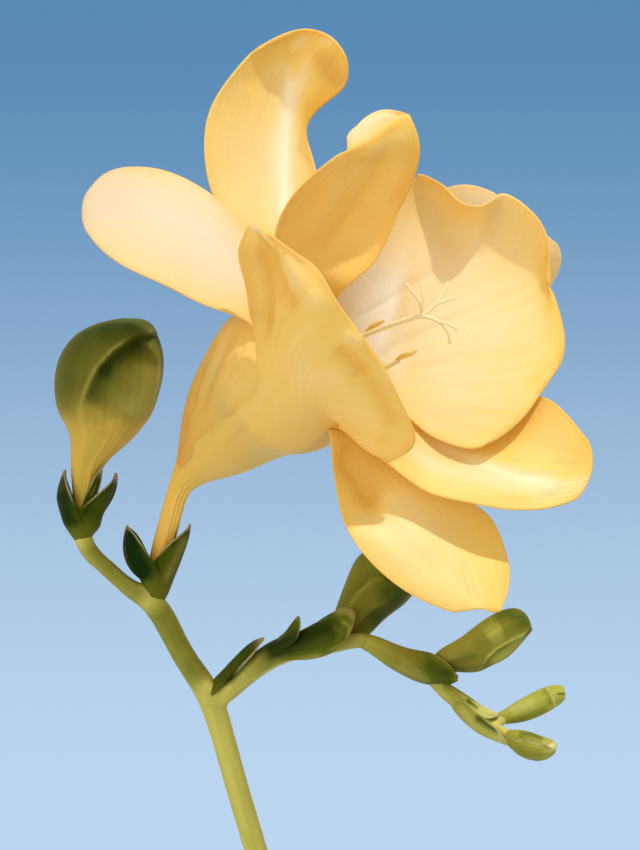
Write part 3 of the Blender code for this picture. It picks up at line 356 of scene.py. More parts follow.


# Marks on the pieces as seen from the front: (polyline of (x, z), half width, how far raised, how pale). How pale is
# negative for darker, and at the marks noted below it is painted shade or a painted highlight.
WRINKLES = [([(-11.6, 11.2), (-12.8, 8), (-14, 4.8), (-15, 1.2)], 0.24, 0.2, -0.5),
            ([(-10.6, 11.6), (-11.9, 8.2), (-13.2, 4.6)], 0.26, -0.2, 0.2),
            ([(-9.6, 11.4), (-10.9, 8.4), (-12.4, 5), (-13.8, 1)], 0.26, 0.2, -0.5),
            ([(-8.8, 10.2), (-10, 7.6), (-11.4, 4.8)], 0.22, -0.18, 0.2),
            ([(-15.4, 1.6), (-16, -1.8), (-17, -5.4)], 0.4, 0.1, -0.5),
            ([(-7.4, 9), (-10, 4), (-13, -0.8)], 0.35, 0.1, 0.1),
            ([(-3, 6.4), (-7, 1.6), (-11.6, -3.2)], 0.4, -0.08, -0.1)]
MARKS = {
    "flower_tube": WRINKLES,
    # Painted shade in the front tepal's folds, in its hollow, under its curled top and along its right margin, and
    # painted highlights on its curl, its bulges and a pale spot.
    "front": WRINKLES + [
        ([(-7.4, 23.2), (-7, 19.8), (-6.2, 16.4), (-5.9, 13.6), (-6.2, 11.4), (-7.2, 9.6)], 0.45, -0.5, -0.6),
        ([(-8.6, 22.6), (-8.3, 18.5), (-7.5, 15), (-7, 12)], 0.9, 0.7, -0.5),
        ([(-8.6, 23.6), (-7.8, 23.8), (-6.6, 23), (-6, 21.8)], 0.35, 0.4, 0.7),
        ([(-7.4, 22.9), (-6.7, 22.2), (-6.3, 21.2)], 0.35, -0.3, -0.8),
        ([(-6.4, 22), (-5.6, 18.6), (-4.6, 15.8), (-2.6, 13.6)], 1.1, -1.1, -0.6),
        ([(-4.6, 20.6), (-2.2, 17.2), (0.6, 13.2)], 1.3, 0.5, 0.25),
        ([(-6.6, 23.2), (-4, 21.8), (-1.2, 19.6)], 0.5, 0.35, -0.5),
        ([(2.8, 10.9), (4.4, 10.2), (5.2, 9.4)], 0.8, 0.4, 0.25),
        ([(1.8, 9.4), (3.8, 7.6), (5.4, 5.4)], 1.1, -0.6, -0.6),
        ([(4.4, 8), (7, 4), (9.4, -0.6)], 1, -0.2, -0.5),
        ([(0.4, 12), (-2.6, 9.4), (-5, 7.6)], 1.6, 0.3, 0.1),
        ([(-3.4, 7), (-0.6, 5.8), (2, 4.4)], 1.3, 0.1, 0.15),
        ([(1.2, 6.4), (5.2, 2.4), (8.6, -1.8)], 1.6, 0.3, 0.05)],
    # Painted highlight: a pale band across the left tepal's upper part.
    "left": WRINKLES + [([(-28, 26.2), (-22.6, 26.8), (-16, 24.4), (-11.4, 20)], 1.6, 0.12, 0.35)],
    # Painted highlight along the upper tepal's midrib (first mark), and painted shade on its curled right strip and on
    # its top (third and fourth marks).
    "upper": [
        ([(-3.6, 44.6), (-4, 40.4), (-4, 36.6), (-4.2, 30), (-4.4, 23.4)], 0.8, -0.25, 0.5),
        ([(-5.4, 45.2), (-7.8, 42.6), (-9.2, 40)], 1.4, -0.25, -0.1),
        ([(-1.8, 45.4), (0.6, 43.6), (1.8, 41.4), (0.4, 38.4), (-1, 35.6)], 1.7, 0, -1.15),
        ([(-4.8, 45.6), (-3.2, 43.8), (-2.6, 41)], 1, 0, -0.4),
        ([(-1.2, 46.8), (-2.2, 46.2), (-3.4, 44.6)], 0.6, 0.25, 0.3)],
    # Painted highlight in the right tepal's throat (first two marks) and painted shade along its right rim (last mark);
    # the thin dark lines are its veins.
    "right": [
        ([(0.6, 15), (4.8, 14.4), (9.4, 13)], 5.4, 0, 2.1),
        ([(-1, 9), (5, 8), (11, 8)], 4, 0, 0.9),
        ([(3, 5.6), (9, 9.4), (15.6, 12.6), (22, 15.4), (27.4, 18.4)], 0.5, -0.12, -0.1),
        ([(4, 4.2), (11, 6.6), (18, 8.4), (26, 9.6)], 0.5, -0.12, -0.1),
        ([(4.4, 12.6), (9.6, 15.8), (14.8, 19.4), (18.4, 23.2)], 0.5, -0.12, -0.08),
        ([(13.8, 26.4), (15.4, 24), (15, 21)], 1.4, -0.5, -0.05),
        ([(19.6, 26.2), (19.4, 23.8), (18.4, 21)], 1.2, 0.45, 0.05),
        ([(26.6, 23), (27.4, 18), (28.6, 12), (28.6, 8.4), (25, 3)], 1.5, 0, -0.5)],
    # Painted highlight along the lower right tepal's midrib (first mark) and painted shade over its upper right part
    # (third mark).
    "lower_right": [
        ([(12.6, -1.8), (18, -4.2), (24, -6.2), (28.8, -6.6)], 0.9, -0.35, 0.75),
        ([(26.6, -8.2), (27.8, -7.2), (28.4, -6.8)], 0.7, 0.25, 0.2),
        ([(22, 2.6), (27, 0.4), (30.6, -3), (31.6, -7)], 3, 0, -0.55),
        ([(14, -6.8), (19.6, -8.2), (25, -8.8)], 1, 0.25, 0)],
    # Painted shade by the bottom tepal's root, under the front tepal (second and third marks).
    "bottom": [
        ([(17.2, -16.6), (18, -19), (18.9, -21.8)], 0.45, -0.3, 0.2),
        ([(1.8, -3), (4.4, -5.4), (7.6, -9.4)], 2.4, 0, -0.9),
        ([(2.6, -0.8), (3.4, -5), (5.2, -8), (8, -10.6)], 1.3, -0.5, -0.7),
        ([(4.2, -8.8), (7.6, -12.2), (11.6, -15.6), (15.6, -18.6)], 1.6, -0.35, 0.1)],
    # Painted highlight on the upper middle tepal's curled tip (second mark) and painted shade on its right part and in
    # the crease under the curl (third and fourth marks).
    "upper_middle": [
        ([(8.6, 34.6), (6.4, 29.2), (2.4, 23.6), (-1, 19.6)], 1, -0.35, -0.1),
        ([(2.6, 33.6), (5.4, 36), (8.4, 37.8), (10.2, 37.9)], 1, 0.1, 0.6),
        ([(11.4, 34.5), (11.4, 30), (8.8, 25.5)], 1.7, 0, -0.6),
        ([(2.6, 32.2), (6.2, 33.9), (8.6, 35.6), (10.8, 37.2)], 0.45, -0.1, -0.8),
        ([(3.4, 29.6), (0.6, 26), (-2.2, 22.6)], 1.2, 0.3, 0.06)],
    "stem": [
        ([(-11.6, -32.6), (-9, -30.2), (-6, -28.2), (-2, -27)], 2, 0, -0.22),
        ([(-13.8, -31.8), (-16.2, -27.9), (-18.2, -24.3), (-20.6, -21)], 2.6, 0, -0.8),
        ([(-14.2, -31.2), (-12.2, -31.5), (-10.6, -31.2)], 0.5, 0.06, 0.8),
        ([(0.6, -26.6), (4.4, -26), (8, -27), (11.4, -28.6)], 1.8, 0, -0.5),
        ([(12.6, -29.6), (14.6, -32), (17, -34)], 1.4, 0, -0.35),
        ([(-20.6, -21.4), (-24.6, -18), (-28.6, -13.6)], 1.8, 0, -0.7)],
    "bract_bud_2": [
        ([(-7.6, -27.8), (-4.4, -26.6), (-0.6, -25), (3, -23.8)], 1.7, 0, -1.1),
        ([(-6, -29), (-2.4, -28.2), (1, -27.8)], 0.7, 0, 0.9),
        ([(1.4, -22.6), (3.2, -22.2), (4.8, -23.2)], 0.5, 0.1, 0.7),
        ([(2, -23.2), (3.6, -24.2), (3.2, -26), (0.6, -27.2)], 0.22, 0.12, 0.7),
        ([(1.4, -24), (2.6, -25), (1.6, -26.4)], 0.18, 0.1, 0.4)],
    # Painted highlight on the sheath's lit upper edge (second mark).
    "bract_bud_3": [
        ([(12.4, -28.6), (14.2, -29.4), (16.2, -29.9)], 1.1, 0, -0.6),
        ([(13, -27.4), (14.8, -28.2), (16.2, -29.6)], 0.3, 0.1, 0.6),
        ([(9, -28.6), (11.4, -29.8), (13.4, -30.8)], 0.6, 0, 0.6)],
    "bracts_bloom": [
        ([(-23.2, -12.4), (-22.2, -15.4), (-20.8, -19)], 1.4, 0, -1.2),
        ([(-16, -13), (-17.4, -16), (-18.8, -19)], 0.5, 0.05, 0.7),
        ([(-22.6, -11.6), (-21.8, -12.6)], 0.6, 0, 1)],
    # Painted shade: the dark stripe of the second mark, on the back bract.
    "bracts_bud_1": [
        ([(-31, -7.4), (-30.6, -10), (-29.6, -12.6)], 1.3, 0, -0.9),
        ([(-27.4, -8.2), (-28.4, -11)], 0.5, 0, -0.8),
        ([(-25.6, -6.4), (-27.4, -8.4), (-28.8, -10.8)], 0.3, 0.05, 0.5)],
    "bract_fork": [
        ([(-11.4, -31), (-9.8, -29.6), (-8.2, -27.6)], 0.22, -0.15, -1),
        ([(-6.8, -26.4), (-5.9, -25.4)], 0.8, 0, 1)],
    "bract_bud_4": [
        ([(17.4, -32.9), (18.2, -33.6), (19, -34.2)], 0.2, -0.15, -1),
        ([(17.6, -33.8), (19.2, -35), (20.8, -35.6)], 0.6, 0, 0.6)],
    "bract_bud_5": [
        ([(18.4, -34.8), (20, -36), (21.8, -36.8)], 0.5, 0, -0.9),
        ([(16.6, -33.6), (18.4, -35.8), (21, -37.4)], 0.5, 0, 0.5)],
    # Painted shade below the bud's folded crest (third and fifth marks).
    "bud_1": [
        ([(-30.9, 0), (-30.7, 4.4), (-30, 8.2), (-27.4, 11.2), (-24.6, 12)], 2.6, 0, -0.45),
        ([(-27, 11.4), (-24, 12), (-20.4, 11.2)], 1.8, 0, -0.6),
        ([(-26.6, 5.6), (-25.2, 7.4), (-23, 9), (-20.8, 9.8)], 1.1, 0, -0.8),
        ([(-28.8, 0.6), (-28.1, 4), (-26.8, 6.9), (-24.9, 9), (-21.8, 10.9)], 0.42, 0.08, 0.9),
        ([(-27.4, 2), (-26.6, 5), (-25.2, 7.4)], 1.2, 0, -0.45),
        ([(-21.8, 10.8), (-20.4, 11.1), (-19.2, 10.8)], 0.16, 0.05, 0.5),
        ([(-23, 0.6), (-20.8, 4), (-19.8, 7.6)], 1.8, 0, 0.9)],
    # Painted shade in the bud's fold (first mark).
    "bud_2": [
        ([(6.2, -20.2), (9.6, -19.8), (9, -22.4), (5.6, -24.8)], 1.9, 0, -0.85),
        ([(2, -22.4), (3.4, -18.8), (5, -16.6)], 1.1, 0, 0.3),
        ([(3, -22.6), (4.3, -20.4), (6.2, -18.6), (8.2, -18.3)], 0.22, 0.1, 1.2)],
    # Painted highlight: the pale patch of the first mark.
    "bud_3": [
        ([(20, -25.6), (21.2, -24.6), (22, -24.4)], 1.1, 0, 0.6),
        ([(20.4, -23), (22.4, -22.4), (24.2, -23.2), (25, -24.6)], 1, 0, -0.8),
        ([(20.2, -28.8), (22.6, -27.2), (25.2, -25.2)], 0.8, 0, 0.9),
        ([(19.3, -29.2), (20.1, -27.9), (21.3, -26.8), (22.8, -26), (24.2, -25.3), (25.3, -24.3)], 0.15, 0.1, 0.9),
        ([(14.4, -27.8), (17, -27), (19, -26.2)], 0.8, 0, 0.35),
        ([(15, -29.4), (17.6, -29.2)], 0.8, 0, -0.4)],
    # Painted highlight: the pale patch of the first mark.
    "bud_4": [
        ([(22.6, -34.6), (24.4, -33.8), (26, -33)], 0.8, 0, 0.5),
        ([(27, -31.4), (28, -33), (28.3, -34)], 0.16, 0.05, 0.9),
        ([(22, -35.8), (24.6, -35.2), (27.6, -34)], 0.5, 0, -0.5)],
    "bud_5": [
        ([(22.7, -37.8), (24.6, -37.7), (27, -38.6)], 0.16, 0.05, 0.8),
        ([(27.6, -38.2), (28.2, -39)], 0.7, 0, 1),
        ([(23.6, -37), (25.6, -37.2), (27, -37.8)], 0.5, 0, -0.7),
        ([(23.4, -38.8), (25.2, -39.8), (27, -39.9)], 0.8, 0, -0.3)],
}


def along_line(p, line):
    """Distance from places p to a polyline, the side they lie on, and how far along it from 0 to 1."""
    line = np.asarray(line, float)
    best = np.full(p.shape[:-1], 1e9)
    side, where = np.zeros_like(best), np.zeros_like(best)
    steps = np.linalg.norm(np.diff(line, axis=0), axis=1)
    total = np.concatenate([[0], np.cumsum(steps)])
    for k in range(len(line) - 1):
        d = line[k + 1] - line[k]
        s = np.clip(((p - line[k]) @ d) / (d @ d), 0, 1)
        gap = p - line[k] - s[..., None] * d
        dist = np.linalg.norm(gap, axis=-1)
        near = dist < best
        best = np.where(near, dist, best)
        side = np.where(near, np.sign(d[1] * gap[..., 0] - d[0] * gap[..., 1]), side)
        where = np.where(near, (total[k] + s * steps[k]) / total[-1], where)
    return best, side, where


def marks(flat, key):
    """Relief and paleness of a piece's marks at places (x, z) seen from the front; the paleness holds painted shade and
    painted highlights as well as colour.
    """
    raised, pale = np.zeros(flat.shape[:-1]), np.zeros(flat.shape[:-1])
    for line, width, height, light in MARKS.get(key, ()):
        dist, _, where = along_line(flat, line)
        near = np.exp(-(dist / width) ** 2) * smooth_step(where, -0.05, 0.2) * smooth_step(1 - where, -0.05, 0.2)
        raised += height * near
        pale += light * near
    return raised, pale


TEPAL_STEPS, TEPAL_THICKNESS = (120, 96), 0.30
VEIN_HEIGHT, WAVE_HEIGHT = 0.009, 0.10


def build_tepal(key):
    u, v = rim_spaced(TEPAL_STEPS[0], both=False), rim_spaced(TEPAL_STEPS[1])
    flat, knots = tepal_grid(key, u, v)
    # pale: the marks' paleness, painted shade and painted highlights among it.
    raised, pale = marks(flat[..., [0, 2]], key)
    grid = seen(flat)
    seed = seed_of(key)
    normal = grid_normal(grid)
    free = smooth_step(u, knots[len(ROOT_ROWS) - 1], knots[len(ROOT_ROWS) + 1])[:, None]
    veins = VEIN_HEIGHT * ripple(v * 9, seed)[None, :] * np.ones((len(u), 1))
    waves = WAVE_HEIGHT * ripple(u * 3 + seed, seed + 1)[:, None] * np.abs(2 * v - 1)[None, :] ** 3
    front = -np.sign(normal[..., 1:2])
    grid = grid + normal * (veins + waves * free)[..., None] + normal * front * raised[..., None]
    # Pale flushes, painted highlights among them, add to the paleness.
    for across, along, width, length, weight in PALE_FLUSHES_AND_HIGHLIGHTS.get(key, ()):
        spot = ((v[None, :] - across) / width) ** 2 + ((u[:, None] - along) / length) ** 2
        pale += weight * np.exp(-spot) * free
    # The right tepal keeps its blade's colours down to its foot
    root = (1 - smooth_step(u, 0.0, knots[len(ROOT_ROWS)]))[:, None] * (key != "right")
    return sheet("tepal_" + key, grid, u, v, TEPAL_THICKNESS, {"pale": pale, "root": root})


# Round bodies

DOME = np.radians((8, 25, 42, 58, 74))


def tube_body(name, rows, rings, sides, caps, relief=None):
    """Round body through rows of (x, depth, z, radius); caps are domes, as shares of the end radii."""
    t = np.linspace(0, 1, rings)
    data = spline(rows, t, pace(rows))
    path, radius = seen(data[:, :3]), data[:, 3]
    along, front, side = path_frame(path)
    theta = np.linspace(0, TURN, sides, endpoint=False)
    rings_out, where = [], []

    def ring(i, shift, scale):
        k = radius[i] * scale * (np.ones(sides) if relief is None else 1 + relief(theta))
        rings_out.append(path[i] + along[i] * shift + np.outer(k * np.cos(theta), front[i])
                         + np.outer(k * np.sin(theta), side[i]))
        where.append(np.stack([theta / TURN, np.full(sides, t[i]), np.full(sides, radius[i])], axis=1))

    for a in DOME if caps[0] else []:
        ring(0, -caps[0] * radius[0] * math.cos(a), math.sin(a))
    for i in range(rings):
        ring(i, 0.0, 1.0)
    for a in DOME[::-1] if caps[1] else []:
        ring(rings - 1, caps[1] * radius[-1] * math.cos(a), math.sin(a))
    ends = [path[0] - along[0] * caps[0] * radius[0], path[-1] + along[-1] * caps[1] * radius[-1]]
    leaf = np.concatenate(where + [[(0, 0, radius[0])], [(0, 1, radius[-1])]])
    return ring_mesh(name, rings_out, ends, {"leaf": leaf})


def ring_mesh(name, rings, ends, values):
    """Closed body from rings of points and its two end points."""
    n, sides = len(rings), len(rings[0])
    verts = np.concatenate(list(rings) + [ends])
    i, j = np.meshgrid(np.arange(n - 1), np.arange(sides), indexing="ij")
    a, b = (i * sides + j).ravel(), (i * sides + (j + 1) % sides).ravel()
    faces = np.stack([a, b, b + sides, a + sides], axis=1).tolist()
    faces += [(n * sides, (j + 1) % sides, j) for j in range(sides)]
    faces += [(n * sides + 1, (n - 1) * sides + j, (n - 1) * sides + (j + 1) % sides) for j in range(sides)]
    obj = mesh_object(name, verts, faces, values)
    merge_rim(obj)
    return obj


def outline_body(name, rows, rings, sides, carve, relief):
    """Closed body from pairs of outline places: rows of (left x, left z, right x, right z, depth, half depth).

    carve holds folds as (line, depth, reach, lip): a polyline of (x, z) seen from the front, with the skin to the right
    of its direction pressed in along it, or to the left for a negative reach. The pressed-in skin also gets painted
    shade in its colour.
    """
    t = np.linspace(0, 1, rings)
    t = t - 0.02 * np.sin(TURN * t)
    data = spline(rows, t)
    left = np.stack([data[:, 0], data[:, 4], data[:, 1]], axis=1)
    right = np.stack([data[:, 2], data[:, 4], data[:, 3]], axis=1)
    centre, half = (left + right) / 2, (right - left) / 2
    theta = np.linspace(0, TURN, sides, endpoint=False)
    grid = (centre[:, None] + half[:, None] * np.sin(theta)[None, :, None]
            + FRONT * (data[:, 5:6] * np.cos(theta)[None, :])[..., None])
    normal = unit(np.cross(np.roll(grid, -1, axis=1) - np.roll(grid, 1, axis=1), np.gradient(grid, axis=0)))
    normal *= np.sign((normal * (grid - centre[:, None])).sum(axis=2))[..., None]
    # Painted shade that the folds put into the colour, handed on as the fold value.
    shade = np.zeros(grid.shape[:2])
    for line, depth, reach, lip in carve:
        press, dark = fold(grid, normal, line, depth, reach, lip)
        grid = grid + normal * press[..., None]
        shade = np.maximum(shade, dark)
    grid = grid + normal * relief(theta[None, :], t[:, None])[..., None]
    # tone: the marks' paleness, painted shade and painted highlights among it, kept to the side facing the eye.
    raised, tone = marks(grid[..., [0, 2]], name)
    front = smooth_step(-normal[..., 1], -0.2, 0.4)
    grid = grid + normal * (raised * front)[..., None]
    leaf = np.stack(np.broadcast_arrays(theta[None, :] / TURN, t[:, None], 1.0), axis=2).reshape(-1, 3)
    values = {"leaf": np.concatenate([leaf, [(0, 0, 1), (0, 1, 1)]]),
              "fold": np.concatenate([shade.ravel(), [0, 0]]),
              "tone": np.concatenate([(tone * front).ravel(), [0, 0]])}
    return ring_mesh(name + "_closed", seen(grid), seen(np.array([centre[0], centre[-1]])), values)


def fold(grid, normal, line, depth, reach, lip):
    """How far to move the skin at a fold seen from the front, and how much painted shade the fold gets there."""
    best, side, where = along_line(grid[..., [0, 2]], line)
    signed = best * side * np.sign(reach)
    fade = smooth_step(where, 0.0, 0.15) * smooth_step(1 - where, 0.0, 0.12)
    fade = fade * smooth_step(-normal[..., 1], -0.05, 0.25)
    inside = np.where(signed > 0, (1 - smooth_step(signed, 0, abs(reach))), 0) * smooth_step(signed, -0.12, 0.1)
    edge = np.where(signed <= 0, np.exp(-(signed / 0.6) ** 2), np.exp(-(signed / 0.12) ** 2))
    return fade * (lip * edge - depth * inside), fade * inside


# Materials

class Nodes:
    """Adds shader nodes to one tree. An input is a value, or a socket to link."""

    def __init__(self, tree):
        self.tree = tree

    def fill(self, node, inputs):
        for key, value in inputs.items():
            if isinstance(value, bpy.types.NodeSocket):
                self.tree.links.new(value, node.inputs[key])
            else:
                node.inputs[key].default_value = value

    def add(self, kind, inputs, **settings):
        node = self.tree.nodes.new("ShaderNode" + kind)
        for key, value in settings.items():
            setattr(node, key, value)
        self.fill(node, inputs)
        return node

    def value(self, name):
        return self.add("Attribute", {}, attribute_name=name).outputs["Fac"]

    def leaf(self):
        return self.add("Attribute", {}, attribute_name="leaf").outputs["Vector"]

    def coords(self, kind="Object"):
        return self.add("TexCoord", {}).outputs[kind]

    def part(self, vector, axis):
        return self.add("SeparateXYZ", {0: vector}).outputs[axis]

    def noise(self, vector, scale, detail, roughness=0.5):
        inputs = {"Vector": vector, "Scale": scale, "Detail": detail, "Roughness": roughness}
        return self.add("TexNoise", inputs).outputs[0]

    def streaks(self, leaf, stretch, detail, roughness=0.5):
        """Noise with one scale across a leaf and another along it."""
        drawn = self.add("VectorMath", {0: leaf, 1: stretch}, operation="MULTIPLY").outputs[0]
        return self.noise(drawn, 1.0, detail, roughness)

    def math(self, operation, a, b, clamp=False):
        return self.add("Math", {0: a, 1: b}, operation=operation, use_clamp=clamp).outputs[0]

    def plus(self, a, b):
        return self.math("ADD", a, b)

    def times(self, a, b):
        return self.math("MULTIPLY", a, b)

    def swing(self, noise, share):
        """Noise that swings about 0 instead of a half, scaled."""
        return self.times(self.math("SUBTRACT", noise, 0.5), share)

    def above(self, value):
        return self.math("MAXIMUM", value, 0.0, True)

    def below(self, value):
        """How far a value is under 0, up to 1."""
        return self.math("MULTIPLY", value, -1.0, True)

    def ramp(self, value, low, high):
        inputs = {"Value": value, "From Min": low, "From Max": high}
        return self.add("MapRange", inputs, interpolation_type="SMOOTHSTEP").outputs[0]

    def mix(self, factor, a, b, blend="MIX"):
        node = self.add("Mix", {}, data_type="RGBA", blend_type=blend)
        a, b = [(*x, 1.0) if isinstance(x, tuple) else x for x in (a, b)]
        self.fill(node, {0: factor, 6: a, 7: b})
        return node.outputs[2]

    def tinted(self, factor, colour, tint):
        """A colour with a share of it multiplied by a tint."""
        return self.mix(factor, colour, self.mix(1.0, colour, tint, "MULTIPLY"))

    def bump(self, height, strength, distance=0.00012):
        return self.add("Bump", {"Height": height, "Strength": strength, "Distance": distance}).outputs[0]

    def surface(self, factor, first, second, output="Material Output"):
        """Two shaders mixed, as the surface."""
        mixed = self.add("MixShader", {0: factor, 1: first.outputs[0], 2: second.outputs[0]})
        self.fill(self.tree.nodes[output], {"Surface": mixed.outputs[0]})


def new_material(name, roughness, specular=0.5):
    mat = bpy.data.materials.new(name)
    mat.use_nodes = True
    make, shader = Nodes(mat.node_tree), mat.node_tree.nodes["Principled BSDF"]
    make.fill(shader, {"Roughness": roughness, "Specular IOR Level": specular})
    return mat, make, shader


ROOT_DEEP, ROOT_PALE = (0.95, 0.60, 0.10), (0.97, 0.76, 0.31)


def petal_material(name, deep, pale, glow, through=0.35, white=(1.0, 0.96, 0.86), dense=0.6):
    """Petal tissue: soft lengthwise veins, paler flushes, painted highlights and painted shade from the pale value, a
    deeper rim, a grainy sheen and light that comes through.

    through is how much light comes through, and dense how much of it the white parts and the feet hold back.
    """
    mat, make, shader = new_material(name, 0.5, 0.45)
    leaf, coords = make.leaf(), make.coords()
    veins = make.streaks(leaf, (46.0, 1.6, 0.0), 2.0, 0.6)
    flush_and_painted_light = make.plus(make.swing(veins, 0.5), make.swing(make.noise(coords, 90.0, 3.0), 0.7))
    # The pale value carries the marks and flushes, painted shade and painted highlights among them.
    flush_and_painted_light = make.plus(flush_and_painted_light, make.value("pale"))
    root = make.value("root")
    colour = make.mix(make.above(flush_and_painted_light), make.mix(root, deep, ROOT_DEEP), make.mix(root, pale, ROOT_PALE))
    # Below 0 the colour darkens towards orange, which is where painted shade shows.
    colour = make.tinted(make.below(flush_and_painted_light), colour, (0.90, 0.72, 0.40))
    # Above 1 it turns whitish, which the strongest painted highlights reach.
    whitish = make.math("SUBTRACT", flush_and_painted_light, 1.0, True)
    colour = make.mix(whitish, colour, white)
    rim = make.times(make.ramp(make.part(leaf, "Z"), 1.3, 0.0), 0.45)
    colour = make.tinted(rim, colour, (0.98, 0.86, 0.55))
    lines = make.times(make.ramp(make.streaks(leaf, (120.0, 1.1, 0.0), 1.0), 0.62, 0.74), 0.35)
    colour = make.tinted(lines, colour, (0.95, 0.84, 0.62))
    bump = make.bump(make.plus(make.times(veins, 0.5), make.times(make.noise(coords, 2600.0, 1.5), 0.5)), 0.6)
    make.fill(shader, {"Base Color": colour, "Normal": bump, "Sheen Weight": 0.06, "Sheen Roughness": 0.4})
    back = make.add("BsdfTranslucent", {"Color": make.mix(1.0, colour, glow, "MULTIPLY"), "Normal": bump})
    thick = make.times(make.math("MAXIMUM", root, whitish), -dense * through)
    make.surface(make.plus(thick, through), shader, back)
    return mat


def green_material(name, stops, pale, deep, streak, spec=0.15, through=0.0, papery=None):
    """Green tissue: colour stops along the piece, paler and deeper patches, painted shade in folds, fine streaks,
    papery rims and tips.
    """
    mat, make, shader = new_material(name, 0.5, spec)
    leaf, coords = make.leaf(), make.coords()
    along = make.part(leaf, "Y")
    streaks = make.streaks(leaf, streak, 3.0)
    drift = make.math("SUBTRACT", make.noise(coords, 300.0, 3.0), 0.5)
    where = make.plus(along, make.times(drift, 0.25))
    colour = stops[0][1]
    for (low, _), (high, shade) in zip(stops, stops[1:]):
        colour = make.mix(make.ramp(where, low, high), colour, shade)
    # tone holds the marks' paleness, some of it painted shade and painted highlights, with a random drift.
    tone = make.plus(make.value("tone"), make.times(drift, 0.5))
    colour = make.mix(make.above(tone), colour, pale)
    colour = make.mix(make.below(tone), colour, deep)
    colour = make.tinted(make.ramp(streaks, 0.35, 0.75), colour, (0.80, 0.84, 0.74))
    # Painted shade in the carved folds, from the fold value.
    colour = make.tinted(make.times(make.value("fold"), 0.6), colour, (0.40, 0.52, 0.30))
    light_in = through
    if papery is not None:
        rim = make.ramp(make.plus(make.part(leaf, "Z"), make.times(drift, 0.5)), 0.30, 0.08)
        rim = make.times(make.times(rim, make.ramp(along, 0.45, 0.75)), 0.8)
        rim = make.math("MAXIMUM", rim, make.value("papery"))
        colour = make.mix(rim, colour, papery)
        light_in = make.plus(make.times(rim, 0.35), through)
    bump = make.bump(make.plus(streaks, make.times(make.noise(coords, 4200.0, 1.0), 0.3)), 0.5)
    make.fill(shader, {"Base Color": colour, "Normal": bump, "Specular Tint": (1.0, 0.92, 0.50, 1.0)})
    if through:
        make.surface(light_in, shader, make.add("BsdfTranslucent", {"Color": colour, "Normal": bump}))
    return mat


# Flower: the tube, the tepals, and what stands in the throat

TUBE_TOP, TUBE_THROAT = 6.9, 3.6


def build_tube():
    """Outer and inner faces of the tube and funnel that the tepals grow out of."""
    out_t, in_t = np.linspace(0, TUBE_TOP, 110), np.linspace(TUBE_TOP, TUBE_THROAT, 40)
    phi = np.linspace(0, 360, 120, endpoint=False)
    rings, where, deeper = [], [], []
    for k, t in enumerate(np.concatenate([out_t, in_t])):
        inner = k >= len(out_t)
        at = np.full(len(phi), t)
        wall = 0.22 + 0.8 * (1 - smooth_step(t, TUBE_THROAT, 6.5)) if inner else 0.0
        sink = 0.12 * smooth_step(t, 4.5, 6.5)
        bare = 1 - smooth_step(t, 2.6, 4.2)
        wander = 0.05 * ripple(phi / 360 * 9, 4) * smooth_step(t, 0.5, 3)
        ribs = 0.0 if inner else bare * (wander + 0.05 * np.cos(np.radians(phi * 6)))
        ring = tube_wall(at, phi, ribs - sink - wall)
        if not inner:
            raised = marks(ring[:, [0, 2]], "flower_tube")[0] * (seen(ring)[:, 1] < spline(TUBE, [t / TUBE_LAST])[0, 1])
            ring = tube_wall(at, phi, ribs - sink - wall + raised)
        rings.append(seen(ring))
        where.append(np.stack([phi / 60, at / 14, np.ones(len(phi))], axis=1))
        deeper.append(np.full(len(phi), 0.0 if inner else 1 - smooth_step(t, ROOT_ROWS[0], ROOT_ROWS[-1] + 0.8)))
    ends = seen([spline(TUBE, [t / TUBE_LAST])[0, :3] for t in (0.0, TUBE_THROAT - 0.05)])
    values = {"leaf": np.concatenate(where + [[(0, 0, 1), (0, 0.25, 1)]]), "root": np.concatenate(deeper + [[1, 0]])}
    return ring_mesh("flower_tube", rings, ends, values)


# Rows of (x, depth, z, radius)
FILAMENTS = [
    [(-12.6, -3.6, -2.4, 0.42), (-6.8, -6.6, 1.6, 0.4), (-1.2, -8.4, 5.4, 0.36), (2.6, -9.6, 8.4, 0.33),
     (5.8, -11.2, 11.2, 0.3)],
    [(-12.6, -3.8, -2.8, 0.42), (-6.6, -7.6, 0, 0.4), (-0.2, -10.4, 1.8, 0.36), (4.8, -13, 4.8, 0.33),
     (9.4, -15.4, 7.7, 0.3)],
    [(-12.6, -3.4, -2.6, 0.42), (-6.8, -6.6, 0.4, 0.4), (-1, -8.8, 2.6, 0.36), (2.6, -10.6, 4.6, 0.33),
     (6.3, -12.6, 6.4, 0.3)],
]
ANTHERS = [
    [(5.5, -11, 11.2, 0.22), (6.3, -11.6, 11.8, 0.40), (7, -12.1, 12.2, 0.40), (7.6, -12.5, 12.5, 0.2)],
    [(9.2, -15.3, 7.8, 0.22), (10, -15.8, 8.3, 0.44), (10.8, -16.3, 8.6, 0.44), (11.5, -16.7, 8.9, 0.2)],
    [(6.2, -12.4, 6.5, 0.22), (7, -13, 6.8, 0.38), (7.6, -13.5, 7, 0.38), (8.2, -13.9, 7.2, 0.2)],
]
STYLE = [(-13.9, -2.5, -3.65, 0.36), (-11.2, -4.9, -1.2, 0.36), (-7.4, -8.4, 2.6, 0.36), (-3.4, -12.2, 6, 0.35),
         (1.6, -16.6, 9, 0.33), (7.4, -19.2, 11.6, 0.3), (12.6, -20.4, 13.2, 0.28)]
